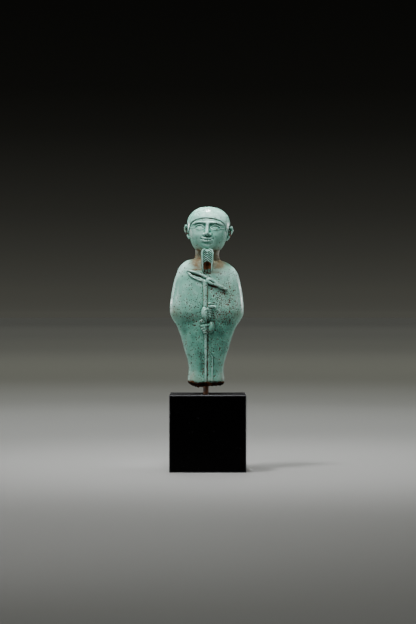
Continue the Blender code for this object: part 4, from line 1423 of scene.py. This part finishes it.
class GlazeSettings(bpy.types.PropertyGroup):
    """Colours and fineness of the figurine."""

    turquoise: colour_setting(
        "Turquoise", "The glaze where it is evenly thick", (0.22, 0.53, 0.42)
    )
    green: colour_setting("Green", "The glaze where it lies deeper", (0.11, 0.36, 0.275))
    pale: colour_setting("Pale", "The glaze where it is thin, as on edges", (0.46, 0.76, 0.68))
    deep: colour_setting("Deep", "The glaze where it has pooled", (0.035, 0.15, 0.115))
    stain: colour_setting("Stain", "Old brown staining", (0.21, 0.165, 0.10))
    # The colour of dirt and of painted shade in hollows and under parts; it also tints the pits
    dirt: colour_setting("Dirt", "What has settled in the deepest hollows", (0.035, 0.028, 0.016))
    pit: colour_setting("Pit", "The body that shows in the pits", (0.15, 0.05, 0.03))
    core: colour_setting("Core", "The bare body on the broken faces", (0.028, 0.02, 0.013))
    rust: colour_setting("Core, lighter", "Rusty patches of the bare body", (0.55, 0.2, 0.07))
    roughness: FloatProperty(
        name="Roughness",
        description="How dull the glaze is",
        subtype="FACTOR",
        min=0.0,
        max=1.0,
        default=0.24,
    )
    grid: FloatProperty(
        name="Grid",
        description="The skin's grid, in hundredths of the figure's height",
        min=0.12,
        max=0.5,
        default=0.18,
    )
    triangles: IntProperty(
        name="Triangles",
        description="How many triangles the finished skin keeps",
        min=10000,
        max=195000,
        default=190000,
    )
    pits: IntProperty(
        name="Pits",
        description="How many pits are sunk into the skin",
        min=0,
        max=2000,
        default=1000,
    )


class MountSettings(bpy.types.PropertyGroup):
    """Colours of the rod and the block."""

    rod_paint: colour_setting("Rod paint", "The rod's brown paint", (0.09, 0.045, 0.025))
    rod_rust: colour_setting("Rod rust", "The rod where the paint is rubbed", (0.62, 0.25, 0.11))
    lacquer: colour_setting("Lacquer", "The block's black lacquer", (0.0004, 0.0004, 0.0004))
    # The colour of the worn edges and dust, and of the painted highlight on the edges and painted
    # sheen on top
    rubbed: colour_setting("Rubbed edge", "The lacquer along its worn edges", (0.19, 0.19, 0.205))


class StageSettings(bpy.types.PropertyGroup):
    """The floor, the lamps and the camera."""

    floor: colour_setting("Floor", "The floor's colour", (0.42, 0.42, 0.415))
    floor_radius: length_setting("Floor radius", "How far the floor reaches", 1.0, 30.0)
    lens: FloatProperty(
        name="Lens",
        description="The camera's focal length",
        subtype="DISTANCE_CAMERA",
        unit="CAMERA",
        min=20.0,
        default=120.0,
    )
    distance: length_setting(
        "Camera distance", "From the camera to the figure's middle", 0.3, 1.15
    )
    eye_height: length_setting(
        "Camera height", "The camera's height above the floor", 0.0, 0.08725
    )
    brightness: FloatProperty(
        name="Brightness",
        description="How strong all the lamps are",
        subtype="FACTOR",
        min=0.0,
        soft_max=2.0,
        default=1.0,
    )


class FigurineSettings(bpy.types.PropertyGroup):
    """Everything that can be set."""

    glaze: PointerProperty(type=GlazeSettings, name="Glaze", description="The figurine")
    mount: PointerProperty(type=MountSettings, name="Mount", description="The rod and block")
    stage: PointerProperty(type=StageSettings, name="Stage", description="Floor, lamps, camera")


class FIGURINE_OT_figure(bpy.types.Operator):
    """Makes the glazed figurine, which stands for its solid"""

    bl_idname = "figurine.figure"
    bl_label = "Make the figurine"

    def execute(self, context):
        glaze = context.scene.figurine.glaze
        figure = glazed_figure(glaze)
        figure.name = "glazed_figurine"
        figure.data.materials.clear()
        figure.data.materials.append(faience(glaze))
        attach(figure, "root")
        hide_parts("figurine")
        return {"FINISHED"}


class FIGURINE_OT_mount(bpy.types.Operator):
    """Gives the rod and the block their finishes"""

    bl_idname = "figurine.mount"
    bl_label = "Finish the rod and block"

    def execute(self, context):
        mount = context.scene.figurine.mount
        for node, material in (("mount_rod", rod_paint), ("base_block", block_lacquer)):
            made = material(mount)
            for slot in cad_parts[node].material_slots:
                slot.material = made
        return {"FINISHED"}


class FIGURINE_OT_stage(bpy.types.Operator):
    """Makes the floor, the backdrop, the lamps and the camera"""

    bl_idname = "figurine.stage"
    bl_label = "Make the stage"

    def execute(self, context):
        stage = context.scene.figurine.stage
        bm = bmesh.new()
        bmesh.ops.create_circle(bm, cap_ends=True, segments=64, radius=stage.floor_radius)
        floor = new_object("floor", bm)
        floor.data.materials.append(floor_paint(stage))
        background()

        bright = stage.brightness
        for name, place, target, angle, radius, power, colour in POOLS:
            shape = {"spot_size": math.radians(angle), "spot_blend": 1.0, "color": colour}
            lamp(name, "SPOT", place, target, power * bright, shadow_soft_size=radius, **shape)
        for name, place, target, width, height, spread, power in SOFTBOXES:
            shape = {"shape": "RECTANGLE", "size": width, "size_y": height}
            spread = math.radians(spread)
            lamp(name, "AREA", place, target, power * bright, spread=spread, **shape)
        sky = {"angle": math.radians(SKY_ANGLE), "color": SKY_COLOUR}
        lamp("overall", "SUN", (0.0, 0.0, 0.0), (0.0, 0.0, -1.0), SKY_POWER * bright, **sky)

        lens = bpy.data.cameras.new("camera")
        lens.lens = stage.lens
        camera = bpy.data.objects.new("camera", lens)
        context.scene.collection.objects.link(camera)
        camera.location = (CAMERA_ASIDE, -stage.distance, stage.eye_height)
        camera.rotation_euler = (math.pi / 2, 0.0, 0.0)
        context.scene.camera = camera
        return {"FINISHED"}


class FIGURINE_PT_sidebar(bpy.types.Panel):
    """Buttons and settings for the figurine"""

    bl_label = "Faience figurine"
    bl_idname = "FIGURINE_PT_sidebar"
    bl_space_type = "VIEW_3D"
    bl_region_type = "UI"
    bl_category = "Figurine"

    def draw(self, context):
        layout = self.layout
        settings = context.scene.figurine
        for operator in OPERATORS:
            layout.operator(operator.bl_idname)
        for part in (settings.glaze, settings.mount, settings.stage):
            box = layout.box()
            for name in part.__annotations__:
                box.prop(part, name)


OPERATORS = (FIGURINE_OT_figure, FIGURINE_OT_mount, FIGURINE_OT_stage)
SETTINGS = (GlazeSettings, MountSettings, StageSettings, FigurineSettings)


def register():
    """Adds the settings, the operators and the panel."""
    for kind in (*SETTINGS, *OPERATORS, FIGURINE_PT_sidebar):
        bpy.utils.register_class(kind)
    bpy.types.Scene.figurine = PointerProperty(type=FigurineSettings)


def unregister():
    """Takes them away again."""
    del bpy.types.Scene.figurine
    for kind in reversed((*SETTINGS, *OPERATORS, FIGURINE_PT_sidebar)):
        bpy.utils.unregister_class(kind)


def main():
    """Makes everything."""
    register()
    bpy.ops.figurine.figure()
    bpy.ops.figurine.mount()
    bpy.ops.figurine.stage()


if __name__ == "__main__":
    main()
